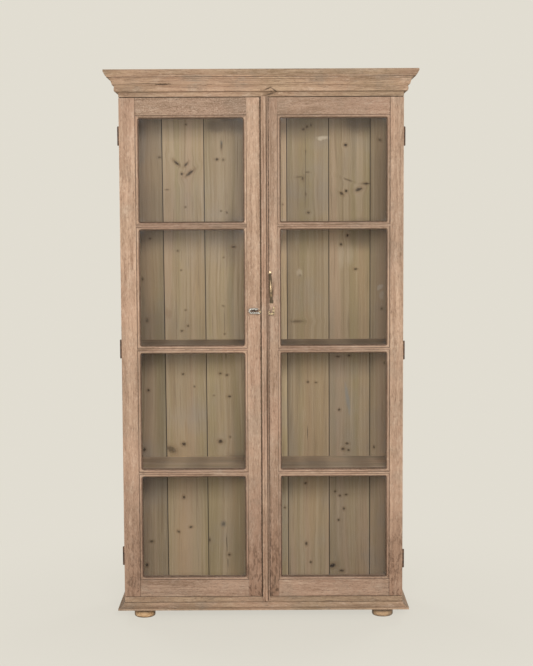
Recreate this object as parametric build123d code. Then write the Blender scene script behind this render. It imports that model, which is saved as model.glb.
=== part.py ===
from build123d import *
import os

# Glass-door display cabinet. Millimetres. Z is up, the doors face -Y, and the origin is on the
# floor, under the middle of the cabinet's overall box.

# Tools run this far past the faces they cut through
overcut = 1.0

# Carcass
body_width = 1074.0
carcass_depth = 300.0
side_thickness = 22.0
floor_thickness = 19.0
ceiling_thickness = 20.0
shelf_thickness = 22.0
housing_depth = 8.0
back_thickness = 14.0
back_rebate_width = 12.0
shelf_setback = 14.0

# Heights above the ground
foot_height = 39.0
base_height = 28.0
door_bottom_gap = 2.0
door_height = 1911.0
door_top_gap = 3.0
frieze_height = 77.0
slab_thickness = 21.0

# Cornice, measured outwards from the frieze and upwards from the moulding's lower edge
slab_overhang = 52.0
slab_edge_radius = 1.5
slab_cant_depth = 7.0
slab_cant_height = 14.0
crown_bottom_above_frieze = 17.0
lip_projection = 41.0
lip_height = 6.0
quirk_projection = 32.0
quirk_rise = 2.0
face_top_projection = 27.0
face_bottom_projection = 21.0
face_height = 20.0
cove_height = 6.0
cove_sag = 2.0
bead_projection = 14.0
bead_height = 17.0
bead_bulge = 1.5
bead_fillet = 3.0
neck_projection = 6.0

# Base moulding
base_projection = 24.0
base_fillet_height = 7.0
base_top_projection = 2.0
base_quirk_height = 3.0
base_quirk_depth = 4.0
base_hollow = 3.5
base_stock = 30.0
base_back_thickness = 30.0

# Feet and the blocks that hold them
foot_inset = 73.0
foot_front_inset = 50.0
foot_widest_radius = 40.5
foot_lower_round = 6.5
foot_upper_round = 6.0
foot_belly_top = 27.5
foot_neck_radius = 30.0
spigot_radius = 10.0
spigot_length = 20.0
spigot_clearance = 0.3
foot_block_size = 90.0

# Doors
door_thickness = 22.0
door_back_gap = 1.0
meeting_gap = 2.0
meeting_line = -4.0
left_hinge_stile = 73.5
left_meeting_stile = 64.0
right_meeting_stile = 75.5
right_hinge_stile = 64.0
top_rail = 77.5
bottom_rail = 77.5
bar_height = 32.0
bar_heights = (482.0, 959.5, 1430.0)
moulding_width = 13.0
moulding_step = 2.5
moulding_quirk_width = 2.0
moulding_quirk_depth = 5.0
ovolo_radius = 8.5
left_corner_radius = 8.0
right_corner_radius = 4.5
glass_depth = 12.0
glass_thickness = 3.0
glass_rebate = 8.0
glass_clearance = 1.0
tenon_thickness = 7.0
tenon_depth = 12.0
rail_tenon_length = 38.0
rail_tenon_shoulder = 14.0
bar_tenon_length = 12.0
bar_tenon_height = 10.0
tenon_clearance = 0.2

# Covering strip on the right door
strip_width = 26.5
strip_thickness = 10.0
strip_shoulder = 6.0
strip_edge_radius = 2.0
strip_bead_centre = 14.5
strip_bead_radius = 6.0
strip_groove_bottom = 2.0
strip_lip_width = 2.5
strip_rise = 3.0
strip_end_clearance = 2.0
strip_end_radius = 9.0

# Back boards: where the joints between them lie, left to right, at the foot and at the head
board_joints_low = (-388.0, -224.0, -59.0, 102.0, 269.0, 433.0)
board_joints_high = (-399.0, -232.0, -67.0, 99.0, 267.0, 433.0)
board_gap = 3.4
board_lap = 6.0

# Back nails
nail_radius = 1.5
nail_length = 34.0
nail_head_radius = 3.5
nail_head_height = 1.0
nail_inset = 28.0
nail_clearance = 0.05

# Butt hinges. The lower two are measured up from the foot of the door, the third down from its head
low_hinges_left = (156.0, 961.0)
low_hinges_right = (141.0, 952.0)
top_hinge_left = 141.0
top_hinge_right = 146.0
hinge_length = 69.0
knuckle_radius = 4.0
knuckle_gap = 0.3
knuckle_count = 5
hinge_pin_radius = 2.0
hinge_pin_clearance = 0.05
hinge_pin_head_radius = 3.2
hinge_pin_head_height = 1.6
leaf_thickness = 2.0
leaf_width = 18.0
leaf_clearance = 0.1
leaf_notch_clearance = 0.5

# Hinge screws
screw_radius = 1.7
screw_head_radius = 3.4
screw_head_depth = 1.7
screw_length = 15.0
screw_inset = 11.0
screw_pitch = 26.0
screw_clearance = 0.1

# Bow pull on the right door, beside the strip and above the foot of the door
pull_strip_offset = 9.7
pull_height = 1141.0
pull_length = 103.0
pull_tilt = 2.5
pull_projection = 30.0
bow_radius = 6.2
bow_end_radius = 3.4
pull_neck_radius = 4.6
pull_neck_length = 7.0
rosette_width = 13.6
rosette_height = 25.0
rosette_lobe_radius = 3.8
rosette_lobe_rise = 3.5
rosette_stem_width = 7.6
rosette_thickness = 3.0
collar_width = 15.0
collar_height = 15.0
plate_corner_radius = 4.0
pull_screw_radius = 2.0
pull_screw_head_radius = 4.2
pull_screw_head_height = 2.0
pull_screw_bite = 6.0
pull_screw_clearance = 0.15

# Drop hook on the left door and its keeper on the right door
hook_edge_inset = 3.2
hook_height = 1104.0
hook_ring_radius = 5.0
hook_pin_radius = 2.2
hook_pin_clearance = 0.08
hook_thickness = 3.5
hook_bar_height = 6.5
hook_bar_drop = 4.5
hook_curl_radius = 7.5
hook_curl_reach = 33.0
hook_tip_reach = 11.0
hook_strip_clearance = 1.3
hook_side_clearance = 0.3
hook_head_radius = 4.6
hook_head_height = 2.0
hook_head_edge = 0.9
hook_spacer_radius = 4.4
hook_screw_bite = 16.0
keeper_strip_offset = 1.3
keeper_width = 22.5
keeper_drop = 11.5
keeper_plate_width = 7.5
keeper_plate_height = 29.0
keeper_lip_height = 7.0
keeper_prong_width = 3.5
keeper_prong_height = 14.0
keeper_metal = 2.5
keeper_slot_clearance = 1.2
keeper_screw_inset = 7.0
keeper_screw_head_radius = 2.8
keeper_screw_head_height = 1.5

# Levels and planes that follow from the sizes above
floor_bottom = foot_height + base_height
floor_top = floor_bottom + floor_thickness
door_bottom = floor_top + door_bottom_gap
door_top = door_bottom + door_height
frieze_bottom = door_top + door_top_gap
slab_bottom = frieze_bottom + frieze_height
overall_height = slab_bottom + slab_thickness
ceiling_bottom = door_top - ceiling_thickness
half_body = body_width / 2
door_standoff = door_thickness + door_back_gap
overall_depth = slab_overhang + door_standoff + carcass_depth
back_y = overall_depth / 2
carcass_front_y = back_y - carcass_depth
door_back_y = carcass_front_y - door_back_gap
door_front_y = door_back_y - door_thickness
board_front_y = back_y - back_thickness
glass_front_y = door_front_y + glass_depth
glass_back_y = glass_front_y + glass_thickness
hinge_y = carcass_front_y - door_back_gap / 2
hinge_axis_offset = knuckle_radius + knuckle_gap
strip_front_y = door_front_y - strip_thickness
left_door_edge = meeting_line - meeting_gap / 2
right_door_edge = meeting_line + meeting_gap / 2
strip_right_x = right_door_edge + strip_width
bar_centres = [door_bottom + height for height in bar_heights]
hinge_centres_left = [door_bottom + height for height in low_hinges_left] + [door_top - top_hinge_left]
hinge_centres_right = [door_bottom + height for height in low_hinges_right] + [door_top - top_hinge_right]
pull_x = strip_right_x + pull_strip_offset
pull_bottom_foot = door_bottom + pull_height
pull_top_foot = pull_bottom_foot + pull_length
hook_pivot_x = left_door_edge - hook_edge_inset
hook_pivot_height = door_bottom + hook_height
keeper_left_x = strip_right_x + keeper_strip_offset
keeper_right_x = keeper_left_x + keeper_width
keeper_bottom = hook_pivot_height - keeper_drop
keeper_top = keeper_bottom + keeper_plate_height
half_board_span = half_body - side_thickness + back_rebate_width
shelf_front_y = carcass_front_y + shelf_setback


def block(x0, x1, y0, y1, z0, z1):
    return Pos((x0 + x1) / 2, (y0 + y1) / 2, (z0 + z1) / 2) * Box(x1 - x0, y1 - y0, z1 - z0)


def front_plane(y):
    return Plane(origin=(0, y, 0), x_dir=(1, 0, 0), z_dir=(0, -1, 0))


def plan_prism(points, z0, z1):
    outline = make_face(Polyline(*points, close=True))
    return extrude(Plane.XY.offset(z0) * outline, amount=z1 - z0)


def front_prism(face, y0, y1):
    """A face drawn in X and Z, given depth from y0 at the front to y1 at the back."""
    return extrude(front_plane(y1) * face, amount=y1 - y0)


def front_polygon(points, y0, y1):
    return front_prism(make_face(Polyline(*points, close=True)), y0, y1)


def rod_y(x, z, radius, y0, y1):
    return extrude(front_plane(y1) * Pos(x, z) * Circle(radius), amount=y1 - y0)


def rod_z(x, y, radius, z0, z1):
    return Pos(x, y, (z0 + z1) / 2) * Cylinder(radius, z1 - z0)


def write(name, *solids):
    shape = solids[0] if len(solids) == 1 else Compound(list(solids))
    export_step(shape, f"parts/{name}.step")


# Carcass panels
def shelf_levels():
    """Top face of each shelf: the shelves stand level with the glazing bars."""
    return [centre + shelf_thickness / 2 for centre in bar_centres]


def side_panel(side):
    outer = side * half_body
    inner = side * (half_body - side_thickness)
    x0, x1 = sorted((outer, inner))
    panel = block(x0, x1, carcass_front_y, back_y, floor_top, slab_bottom)
    h0, h1 = sorted((inner, inner + side * housing_depth))
    for top in shelf_levels():
        panel -= block(h0, h1, shelf_front_y, board_front_y, top - shelf_thickness, top)
    panel -= block(h0, h1, carcass_front_y, board_front_y, ceiling_bottom, door_top)
    r0, r1 = sorted((inner, inner + side * back_rebate_width))
    return panel - block(r0, r1, board_front_y, back_y, floor_top, slab_bottom)


def housed_board(z0, z1, y0):
    half = half_body - side_thickness + housing_depth
    return block(-half, half, y0, board_front_y, z0, z1)


def floor_panel():
    panel = block(-half_body, half_body, door_front_y, back_y, floor_bottom, floor_top)
    return panel - block(-half_board_span, half_board_span, board_front_y, back_y, floor_bottom, floor_top)


def frieze():
    return block(-half_body, half_body, door_front_y, carcass_front_y, frieze_bottom, slab_bottom)


def top_slab():
    half = half_body + slab_overhang
    slab = block(-half, half, door_front_y - slab_overhang, back_y, slab_bottom, overall_height)
    underside = slab.faces().sort_by(Axis.Z)[0]
    low_rim = [edge for edge in underside.edges() if edge.center().Y < back_y - overcut]
    slab = chamfer(low_rim, slab_cant_depth, slab_cant_height, reference=underside)
    top = slab.faces().sort_by(Axis.Z)[-1]
    return fillet([edge for edge in top.edges() if edge.center().Y < back_y - overcut], slab_edge_radius)


def back_boards():
    boards = []
    lows = (-half_board_span,) + board_joints_low + (half_board_span,)
    highs = (-half_board_span,) + board_joints_high + (half_board_span,)
    lap_y = board_front_y + back_thickness / 2
    last = len(lows) - 2
    for index in range(len(lows) - 1):
        left_gap = 0 if index == 0 else board_gap / 2
        right_gap = 0 if index == last else board_gap / 2
        left_lap = 0 if index == 0 else board_lap
        right_lap = 0 if index == last else board_lap
        layers = []
        for shift_left, shift_right, y0, y1 in (
            (0, 0, board_front_y, lap_y),
            (left_lap, right_lap, lap_y, back_y),
        ):
            layers.append(
                front_polygon(
                    [
                        (lows[index] + left_gap + shift_left, floor_bottom),
                        (lows[index + 1] - right_gap + shift_right, floor_bottom),
                        (highs[index + 1] - right_gap + shift_right, slab_bottom),
                        (highs[index] + left_gap + shift_left, slab_bottom),
                    ],
                    y0,
                    y1,
                )
            )
        boards.append(layers[0] + layers[1])
    return boards


def nail_places():
    """Two nails in each board at the floor, the middle shelf and the ceiling."""
    levels = (
        floor_bottom + floor_thickness / 2,
        shelf_levels()[1] - shelf_thickness / 2,
        ceiling_bottom + ceiling_thickness / 2,
    )
    lows = (-half_board_span + back_rebate_width,) + board_joints_low
    highs = board_joints_low + (half_board_span - back_rebate_width,)
    return [
        (x, z)
        for z in levels
        for low, high in zip(lows, highs)
        for x in (low + nail_inset, high - nail_inset)
    ]


def nail(x, z, clearance=0.0):
    shank = rod_y(x, z, nail_radius + clearance, back_y - nail_length, back_y)
    head = rod_y(x, z, nail_head_radius + clearance, back_y - nail_head_height, back_y)
    return shank + head


# Cornice and base mouldings
def crown_outline():
    """Outline of the cornice moulding as projection and height, clockwise from its back."""
    z_bead = crown_bottom_above_frieze
    z_cove = z_bead + bead_fillet + bead_height
    z_face = z_cove + cove_height
    z_quirk = z_face + face_height
    z_lip = frieze_height - lip_height
    bead_top = (bead_projection, z_cove)
    bead_low = (bead_projection, z_bead + bead_fillet)
    bead_middle = (bead_projection + bead_bulge, z_cove - bead_height / 2)
    cove_end = (face_bottom_projection, z_face)
    cove_middle = (bead_projection + cove_sag, z_face - cove_sag)
    face_end = (face_top_projection, z_quirk)
    quirk_start = (quirk_projection, z_quirk + quirk_rise)
    return [
        Line((0, z_bead), (neck_projection, z_bead)),
        Line((neck_projection, z_bead), bead_low),
        ThreePointArc(bead_low, bead_middle, bead_top),
        ThreePointArc(bead_top, cove_middle, cove_end),
        Line(cove_end, face_end),
        Line(face_end, quirk_start),
        Line(quirk_start, (quirk_projection, z_lip)),
        Line((quirk_projection, z_lip), (lip_projection, z_lip)),
        Line((lip_projection, z_lip), (lip_projection, frieze_height)),
        Line((lip_projection, frieze_height), (0, frieze_height)),
        Line((0, frieze_height), (0, z_bead)),
    ]


def base_outline():
    """Outline of the base moulding as projection and height above the feet."""
    fillet_top = (base_projection, base_fillet_height)
    shoulder = base_height - base_quirk_height
    splay_top = (base_top_projection, shoulder)
    hollow = (
        (base_projection + base_top_projection) / 2 - base_hollow,
        (shoulder + base_fillet_height) / 2 - base_hollow,
    )
    return [
        Line((-base_stock, 0), (base_projection, 0)),
        Line((base_projection, 0), fillet_top),
        ThreePointArc(fillet_top, hollow, splay_top),
        Line(splay_top, (-base_quirk_depth, shoulder)),
        Line((-base_quirk_depth, shoulder), (-base_quirk_depth, base_height)),
        Line((-base_quirk_depth, base_height), (-base_stock, base_height)),
        Line((-base_stock, base_height), (-base_stock, 0)),
    ]


def front_moulding(outline, z0, projection, stock):
    """A length of moulding across the front, mitred at both ends."""
    half = half_body + projection
    plane = Plane(origin=(half, door_front_y, z0), x_dir=(0, -1, 0), z_dir=(-1, 0, 0))
    run = extrude(plane * make_face(outline), amount=2 * half)
    mitre = plan_prism(
        [
            (-half, door_front_y - projection),
            (half, door_front_y - projection),
            (half_body - stock, door_front_y + stock),
            (-half_body + stock, door_front_y + stock),
        ],
        0,
        overall_height,
    )
    return run & mitre


def side_moulding(outline, side, z0, projection, stock):
    """The return along one side, mitred at the front and cut square at the back."""
    length = back_y - door_front_y + projection
    plane = Plane(
        origin=(side * half_body, door_front_y - projection, z0), x_dir=(side, 0, 0), z_dir=(0, -side, 0)
    )
    run = extrude(plane * make_face(outline), amount=-side * length)
    mitre = plan_prism(
        [
            (side * (half_body + projection), door_front_y - projection),
            (side * (half_body + projection), back_y),
            (side * (half_body - stock), back_y),
            (side * (half_body - stock), door_front_y + stock),
        ],
        0,
        overall_height,
    )
    return run & mitre


def base_back_rail():
    half = half_body - base_stock
    return block(-half, half, back_y - base_back_thickness, back_y, foot_height, floor_bottom)


# Feet
def foot_places():
    x = half_body - foot_inset
    front = door_front_y + foot_front_inset
    back = back_y - foot_front_inset
    return {
        "front_left": (-x, front),
        "front_right": (x, front),
        "back_left": (-x, back),
        "back_right": (x, back),
    }


def foot(x, y):
    widest = foot_widest_radius
    low = foot_lower_round
    high = foot_upper_round
    shoulder = (widest - high, foot_belly_top + high)
    to_middle = 1 - 0.5**0.5
    turned = [
        Line((0, 0), (widest - low, 0)),
        ThreePointArc((widest - low, 0), (widest - low * to_middle, low * to_middle), (widest, low)),
        Line((widest, low), (widest, foot_belly_top)),
        ThreePointArc(
            (widest, foot_belly_top),
            (widest - high * to_middle, foot_belly_top + high * (1 - to_middle)),
            shoulder,
        ),
        Line(shoulder, (foot_neck_radius, foot_height)),
        Line((foot_neck_radius, foot_height), (spigot_radius, foot_height)),
        Line((spigot_radius, foot_height), (spigot_radius, foot_height + spigot_length)),
        Line((spigot_radius, foot_height + spigot_length), (0, foot_height + spigot_length)),
        Line((0, foot_height + spigot_length), (0, 0)),
    ]
    return Pos(x, y, 0) * revolve(Plane.XZ * make_face(turned), Axis.Z)


def foot_block(x, y):
    outer = half_body - base_stock
    x0, x1 = sorted((x / abs(x) * outer, x / abs(x) * (outer - foot_block_size)))
    if y < 0:
        y0 = door_front_y + base_stock
    else:
        y0 = back_y - base_back_thickness - foot_block_size
    body = block(x0, x1, y0, y0 + foot_block_size, foot_height, floor_bottom)
    socket_radius = spigot_radius + spigot_clearance
    socket_top = foot_height + spigot_length + spigot_clearance
    return body - rod_z(x, y, socket_radius, foot_height, socket_top)


# Doors
def pane_spans():
    """Lower and upper sight edge of each pane, bottom to top."""
    lows = [door_bottom + bottom_rail] + [centre + bar_height / 2 for centre in bar_centres]
    highs = [centre - bar_height / 2 for centre in bar_centres] + [door_top - top_rail]
    return list(zip(lows, highs))


def moulded_frame(x0, x1, sight_left, sight_right, corner):
    """The whole door frame in one piece, before it is parted into stiles, rails and bars."""
    frame = block(x0, x1, door_front_y, door_back_y, door_bottom, door_top)
    step_y = door_front_y + moulding_step
    wide_left = sight_left - moulding_width
    wide_right = sight_right + moulding_width
    middle_x = (sight_left + sight_right) / 2
    for low, high in pane_spans():
        z0 = low - moulding_width
        z1 = high + moulding_width
        frame -= block(wide_left, wide_right, door_front_y, step_y, z0, z1)
        rounded = RectangleRounded(sight_right - sight_left, high - low, corner)
        frame -= front_prism(Pos(middle_x, (low + high) / 2) * rounded, door_front_y, door_back_y)
    rims = []
    for edge in frame.edges():
        box = edge.bounding_box()
        flat = abs(box.min.Y - step_y) < 0.01 and abs(box.max.Y - step_y) < 0.01
        inside_x = box.min.X > sight_left - overcut and box.max.X < sight_right + overcut
        inside_z = any(
            box.min.Z > low - overcut and box.max.Z < high + overcut for low, high in pane_spans()
        )
        if flat and inside_x and inside_z:
            rims.append(edge)
    frame = fillet(rims, ovolo_radius)
    quirk_y = door_front_y + moulding_quirk_depth
    quirk = moulding_quirk_width
    grooves = []
    for low, high in pane_spans():
        z0 = low - moulding_width
        z1 = high + moulding_width
        outer = block(wide_left, wide_right, step_y, quirk_y, z0, z1)
        inner = block(wide_left + quirk, wide_right - quirk, step_y, quirk_y, z0 + quirk, z1 - quirk)
        grooves.append(outer - inner)
    frame -= grooves
    for low, high in pane_spans():
        frame -= block(
            sight_left - glass_rebate,
            sight_right + glass_rebate,
            glass_front_y,
            door_back_y,
            low - glass_rebate,
            high + glass_rebate,
        )
    return frame


def rail_region(sight_left, sight_right, corner, sight_z, outer_z):
    """Zone of a rail: square shoulders on the flat, mitres through the moulding."""
    toward_pane = 1 if sight_z > outer_z else -1
    flat_z = sight_z - toward_pane * moulding_width
    tip_z = sight_z + toward_pane * corner
    return [
        (sight_left - moulding_width, outer_z),
        (sight_right + moulding_width, outer_z),
        (sight_right + moulding_width, flat_z),
        (sight_right - corner, tip_z),
        (sight_left + corner, tip_z),
        (sight_left - moulding_width, flat_z),
    ]


def bar_region(sight_left, sight_right, corner, centre):
    rib = bar_height / 2 - moulding_width
    reach = bar_height / 2 + corner
    return [
        (sight_left - moulding_width, centre - rib),
        (sight_left + corner, centre - reach),
        (sight_right - corner, centre - reach),
        (sight_right + moulding_width, centre - rib),
        (sight_right + moulding_width, centre + rib),
        (sight_right - corner, centre + reach),
        (sight_left + corner, centre + reach),
        (sight_left - moulding_width, centre + rib),
    ]


def tenon(x_shoulder, direction, length, z0, z1, clearance=0.0):
    x0, x1 = sorted((x_shoulder, x_shoulder + direction * (length + clearance)))
    y0 = door_front_y + tenon_depth - clearance
    y1 = door_front_y + tenon_depth + tenon_thickness + clearance
    return block(x0, x1, y0, y1, z0 - clearance, z1 + clearance)


def door_pieces(x0, x1, left_stile_width, right_stile_width, corner):
    """Stiles, rails and bars of one door, with tenons on the rails and bars."""
    sight_left = x0 + left_stile_width
    sight_right = x1 - right_stile_width
    shoulder_left = sight_left - moulding_width
    shoulder_right = sight_right + moulding_width
    frame = moulded_frame(x0, x1, sight_left, sight_right, corner)
    regions = {
        "bottom_rail": rail_region(sight_left, sight_right, corner, door_bottom + bottom_rail, door_bottom),
        "top_rail": rail_region(sight_left, sight_right, corner, door_top - top_rail, door_top),
    }
    tenon_spans = {
        "bottom_rail": (
            rail_tenon_length,
            door_bottom + rail_tenon_shoulder,
            door_bottom + bottom_rail - rail_tenon_shoulder,
        ),
        "top_rail": (
            rail_tenon_length,
            door_top - top_rail + rail_tenon_shoulder,
            door_top - rail_tenon_shoulder,
        ),
    }
    for number, centre in enumerate(bar_centres, start=1):
        regions[f"bar_{number}"] = bar_region(sight_left, sight_right, corner, centre)
        half = bar_tenon_height / 2
        tenon_spans[f"bar_{number}"] = (bar_tenon_length, centre - half, centre + half)
    prisms = {
        name: front_polygon(region, door_front_y - overcut, door_back_y + overcut)
        for name, region in regions.items()
    }
    pieces = {name: frame & prism for name, prism in prisms.items()}
    stiles = (frame - list(prisms.values())).solids().sort_by(Axis.X)
    left_stile = stiles[0]
    right_stile = stiles[-1]
    for name, (length, z0, z1) in tenon_spans.items():
        pieces[name] += tenon(shoulder_left, -1, length, z0, z1)
        pieces[name] += tenon(shoulder_right, 1, length, z0, z1)
        left_stile -= tenon(shoulder_left, -1, length, z0, z1, tenon_clearance)
        right_stile -= tenon(shoulder_right, 1, length, z0, z1, tenon_clearance)
    return pieces, left_stile, right_stile, sight_left, sight_right


def glass_panes(sight_left, sight_right):
    edge = glass_rebate - glass_clearance
    return [
        block(sight_left - edge, sight_right + edge, glass_front_y, glass_back_y, low - edge, high + edge)
        for low, high in pane_spans()
    ]


def glazing_beads(sight_left, sight_right):
    """Four square strips behind each pane, holding it in its rebate."""
    strips = []
    left = sight_left - glass_rebate
    right = sight_right + glass_rebate
    for low, high in pane_spans():
        z0 = low - glass_rebate
        z1 = high + glass_rebate
        strips.append(block(left, right, glass_back_y, door_back_y, z0, low))
        strips.append(block(left, right, glass_back_y, door_back_y, high, z1))
        strips.append(block(left, sight_left, glass_back_y, door_back_y, low, high))
        strips.append(block(sight_right, right, glass_back_y, door_back_y, low, high))
    return strips


def strip_outline():
    """Section of the strip as width and thickness: shoulder, bead, groove and lip from left to right."""
    bead_left = strip_bead_centre - strip_bead_radius
    bead_right = strip_bead_centre + strip_bead_radius
    bead_foot = strip_thickness - strip_bead_radius
    lip = strip_width - strip_lip_width
    corner = strip_edge_radius
    corner_middle = corner * (1 - 0.5**0.5)
    return [
        Line((0, 0), (0, strip_shoulder - corner)),
        ThreePointArc(
            (0, strip_shoulder - corner),
            (corner_middle, strip_shoulder - corner_middle),
            (corner, strip_shoulder),
        ),
        Line((corner, strip_shoulder), (bead_left, strip_shoulder)),
        Line((bead_left, strip_shoulder), (bead_left, bead_foot)),
        ThreePointArc((bead_left, bead_foot), (strip_bead_centre, strip_thickness), (bead_right, bead_foot)),
        Line((bead_right, bead_foot), (bead_right, strip_groove_bottom)),
        Line((bead_right, strip_groove_bottom), (lip, strip_groove_bottom)),
        Line((lip, strip_groove_bottom), (lip, strip_shoulder)),
        Line((lip, strip_shoulder), (strip_width, strip_shoulder)),
        Line((strip_width, strip_shoulder), (strip_width, 0)),
        Line((strip_width, 0), (0, 0)),
    ]


def closing_strip():
    """Moulded strip on the right door that covers the line where the doors meet."""
    x0 = right_door_edge
    x1 = strip_right_x
    z0 = floor_bottom + strip_end_clearance
    z1 = door_top + strip_rise
    plane = Plane(origin=(x0, door_front_y, z1), x_dir=(1, 0, 0), z_dir=(0, 0, -1))
    strip = extrude(plane * make_face(strip_outline()), amount=z1 - z0)
    rounded_end = front_prism(
        Pos((x0 + x1) / 2, (z0 + z1) / 2) * RectangleRounded(x1 - x0, z1 - z0, strip_end_radius),
        strip_front_y - overcut,
        door_front_y + overcut,
    )
    head_z = z1 - 2 * strip_end_radius
    square_head = block(x0, x1, strip_front_y - overcut, door_front_y + overcut, head_z, z1)
    return strip & (rounded_end + square_head)


# Hinges
def knuckle_spans(centre):
    pitch = hinge_length / knuckle_count
    low = centre - hinge_length / 2
    half_gap = knuckle_gap / 2
    return [(low + i * pitch + half_gap, low + (i + 1) * pitch - half_gap) for i in range(knuckle_count)]


def leaf(side, centre, toward_door):
    """One leaf with its knuckles; the door leaf has the second and fourth knuckle."""
    axis_x = side * (half_body + hinge_axis_offset)
    inner_x = side * (half_body - leaf_width)
    x0, x1 = sorted((axis_x, inner_x))
    half_gap = door_back_gap / 2
    if toward_door:
        y0, y1 = hinge_y - half_gap - leaf_thickness, hinge_y - half_gap
    else:
        y0, y1 = hinge_y + half_gap, hinge_y + half_gap + leaf_thickness
    plate = block(x0, x1, y0, y1, centre - hinge_length / 2, centre + hinge_length / 2)
    notch_radius = knuckle_radius + leaf_notch_clearance
    for index, (z0, z1) in enumerate(knuckle_spans(centre)):
        own = (index % 2 == 1) == toward_door
        if own:
            plate += rod_z(axis_x, hinge_y, knuckle_radius, z0, z1)
        else:
            plate -= rod_z(axis_x, hinge_y, notch_radius, z0 - knuckle_gap, z1 + knuckle_gap)
    bore = hinge_pin_radius + hinge_pin_clearance
    half_bore = hinge_length / 2 + overcut
    plate -= rod_z(axis_x, hinge_y, bore, centre - half_bore, centre + half_bore)
    for z in screw_heights(centre):
        plate -= leaf_screw(side, z, toward_door, screw_clearance)
    return plate


def leaf_recess(side, centre, toward_door):
    outer_x = side * (half_body + overcut)
    inner_x = side * (half_body - leaf_width - leaf_clearance)
    x0, x1 = sorted((outer_x, inner_x))
    depth = leaf_thickness + leaf_clearance
    half = hinge_length / 2 + leaf_clearance
    if toward_door:
        return block(x0, x1, door_back_y - depth, door_back_y + overcut, centre - half, centre + half)
    return block(x0, x1, carcass_front_y - overcut, carcass_front_y + depth, centre - half, centre + half)


def screw_heights(centre):
    return (centre - screw_pitch, centre, centre + screw_pitch)


def leaf_screw(side, z, toward_door, clearance=0.0):
    """Countersunk wood screw through a leaf into the stile or the side panel."""
    x = side * (half_body - screw_inset)
    face_y = door_back_y if toward_door else carcass_front_y
    direction = -1 if toward_door else 1
    profile = [
        (0, 0),
        (screw_head_radius + clearance, 0),
        (screw_radius + clearance, screw_head_depth),
        (screw_radius + clearance, screw_length + clearance),
        (0, screw_length + clearance),
    ]
    plane = Plane(origin=(x, face_y, z), x_dir=(1, 0, 0), z_dir=(0, 0, direction))
    return revolve(plane * make_face(Polyline(*profile, close=True)), Axis((x, face_y, z), (0, 1, 0)))


def hinge_pin(side, centre):
    axis_x = side * (half_body + hinge_axis_offset)
    z0 = centre - hinge_length / 2
    z1 = centre + hinge_length / 2
    pin = rod_z(axis_x, hinge_y, hinge_pin_radius, z0, z1)
    pin += rod_z(axis_x, hinge_y, hinge_pin_head_radius, z0 - hinge_pin_head_height, z0)
    return pin + rod_z(axis_x, hinge_y, hinge_pin_head_radius, z1, z1 + hinge_pin_head_height)


# Bow pull
def pull_turn():
    middle = (pull_top_foot + pull_bottom_foot) / 2
    return Pos(pull_x, 0, middle) * Rot(0, -pull_tilt, 0) * Pos(-pull_x, 0, -middle)


def rosette_outline():
    """Front of the upper plate: a stem with one lobe above it and one at either side."""
    lobe = rosette_lobe_radius
    stem = Pos(0, -lobe / 2) * Rectangle(rosette_stem_width, rosette_height - lobe)
    side = rosette_width / 2 - lobe
    outline = stem + Pos(0, rosette_height / 2 - lobe) * Circle(lobe)
    outline += Pos(side, rosette_lobe_rise) * Circle(lobe)
    outline += Pos(-side, rosette_lobe_rise) * Circle(lobe)
    return outline


def bow_pull():
    plate_y = door_front_y - rosette_thickness
    neck_y = plate_y - pull_neck_length
    reach_y = door_front_y - pull_projection + bow_radius
    middle = (pull_top_foot + pull_bottom_foot) / 2
    arc = ThreePointArc(
        (pull_x, neck_y, pull_top_foot),
        (pull_x, reach_y, middle),
        (pull_x, neck_y, pull_bottom_foot),
    )
    sections = []
    for place, radius in ((0, bow_end_radius), (0.5, bow_radius), (1, bow_end_radius)):
        sections.append(Plane(origin=arc @ place, z_dir=arc % place) * Circle(radius))
    bow = sweep(sections, path=arc, multisection=True)
    for z in (pull_top_foot, pull_bottom_foot):
        bow += rod_y(pull_x, z, pull_neck_radius, neck_y, door_front_y)
        bow += Pos(pull_x, neck_y, z) * Sphere(pull_neck_radius)
    plates = (
        Pos(pull_x, pull_top_foot) * rosette_outline(),
        Pos(pull_x, pull_bottom_foot) * RectangleRounded(collar_width, collar_height, plate_corner_radius),
    )
    for outline in plates:
        bow += front_prism(outline, plate_y, door_front_y)
    for z in (pull_top_foot, pull_bottom_foot):
        bow -= pull_screw_hole(z)
    return pull_turn() * bow


def pull_screw_hole(z):
    radius = pull_screw_radius + pull_screw_clearance
    front_y = door_front_y - pull_screw_bite - pull_screw_clearance
    return rod_y(pull_x, z, radius, front_y, door_back_y + overcut)


def pull_screw(z):
    shank = rod_y(pull_x, z, pull_screw_radius, door_front_y - pull_screw_bite, door_back_y)
    head_y = door_back_y - pull_screw_head_height
    return pull_turn() * (shank + rod_y(pull_x, z, pull_screw_head_radius, head_y, door_back_y))


def pull_screw_bore(z):
    """Clearance hole through the stile, with a sink for the head in its back."""
    head_y = door_back_y - pull_screw_head_height - pull_screw_clearance
    sink = rod_y(pull_x, z, pull_screw_head_radius + pull_screw_clearance, head_y, door_back_y + overcut)
    return pull_turn() * (pull_screw_hole(z) + sink)


# Drop hook, its post and its keeper
hook_back_y = strip_front_y - hook_strip_clearance
hook_front_y = hook_back_y - hook_thickness


def hook_path_point(x, z):
    return (hook_pivot_x + x, hook_pivot_height + z)


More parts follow.
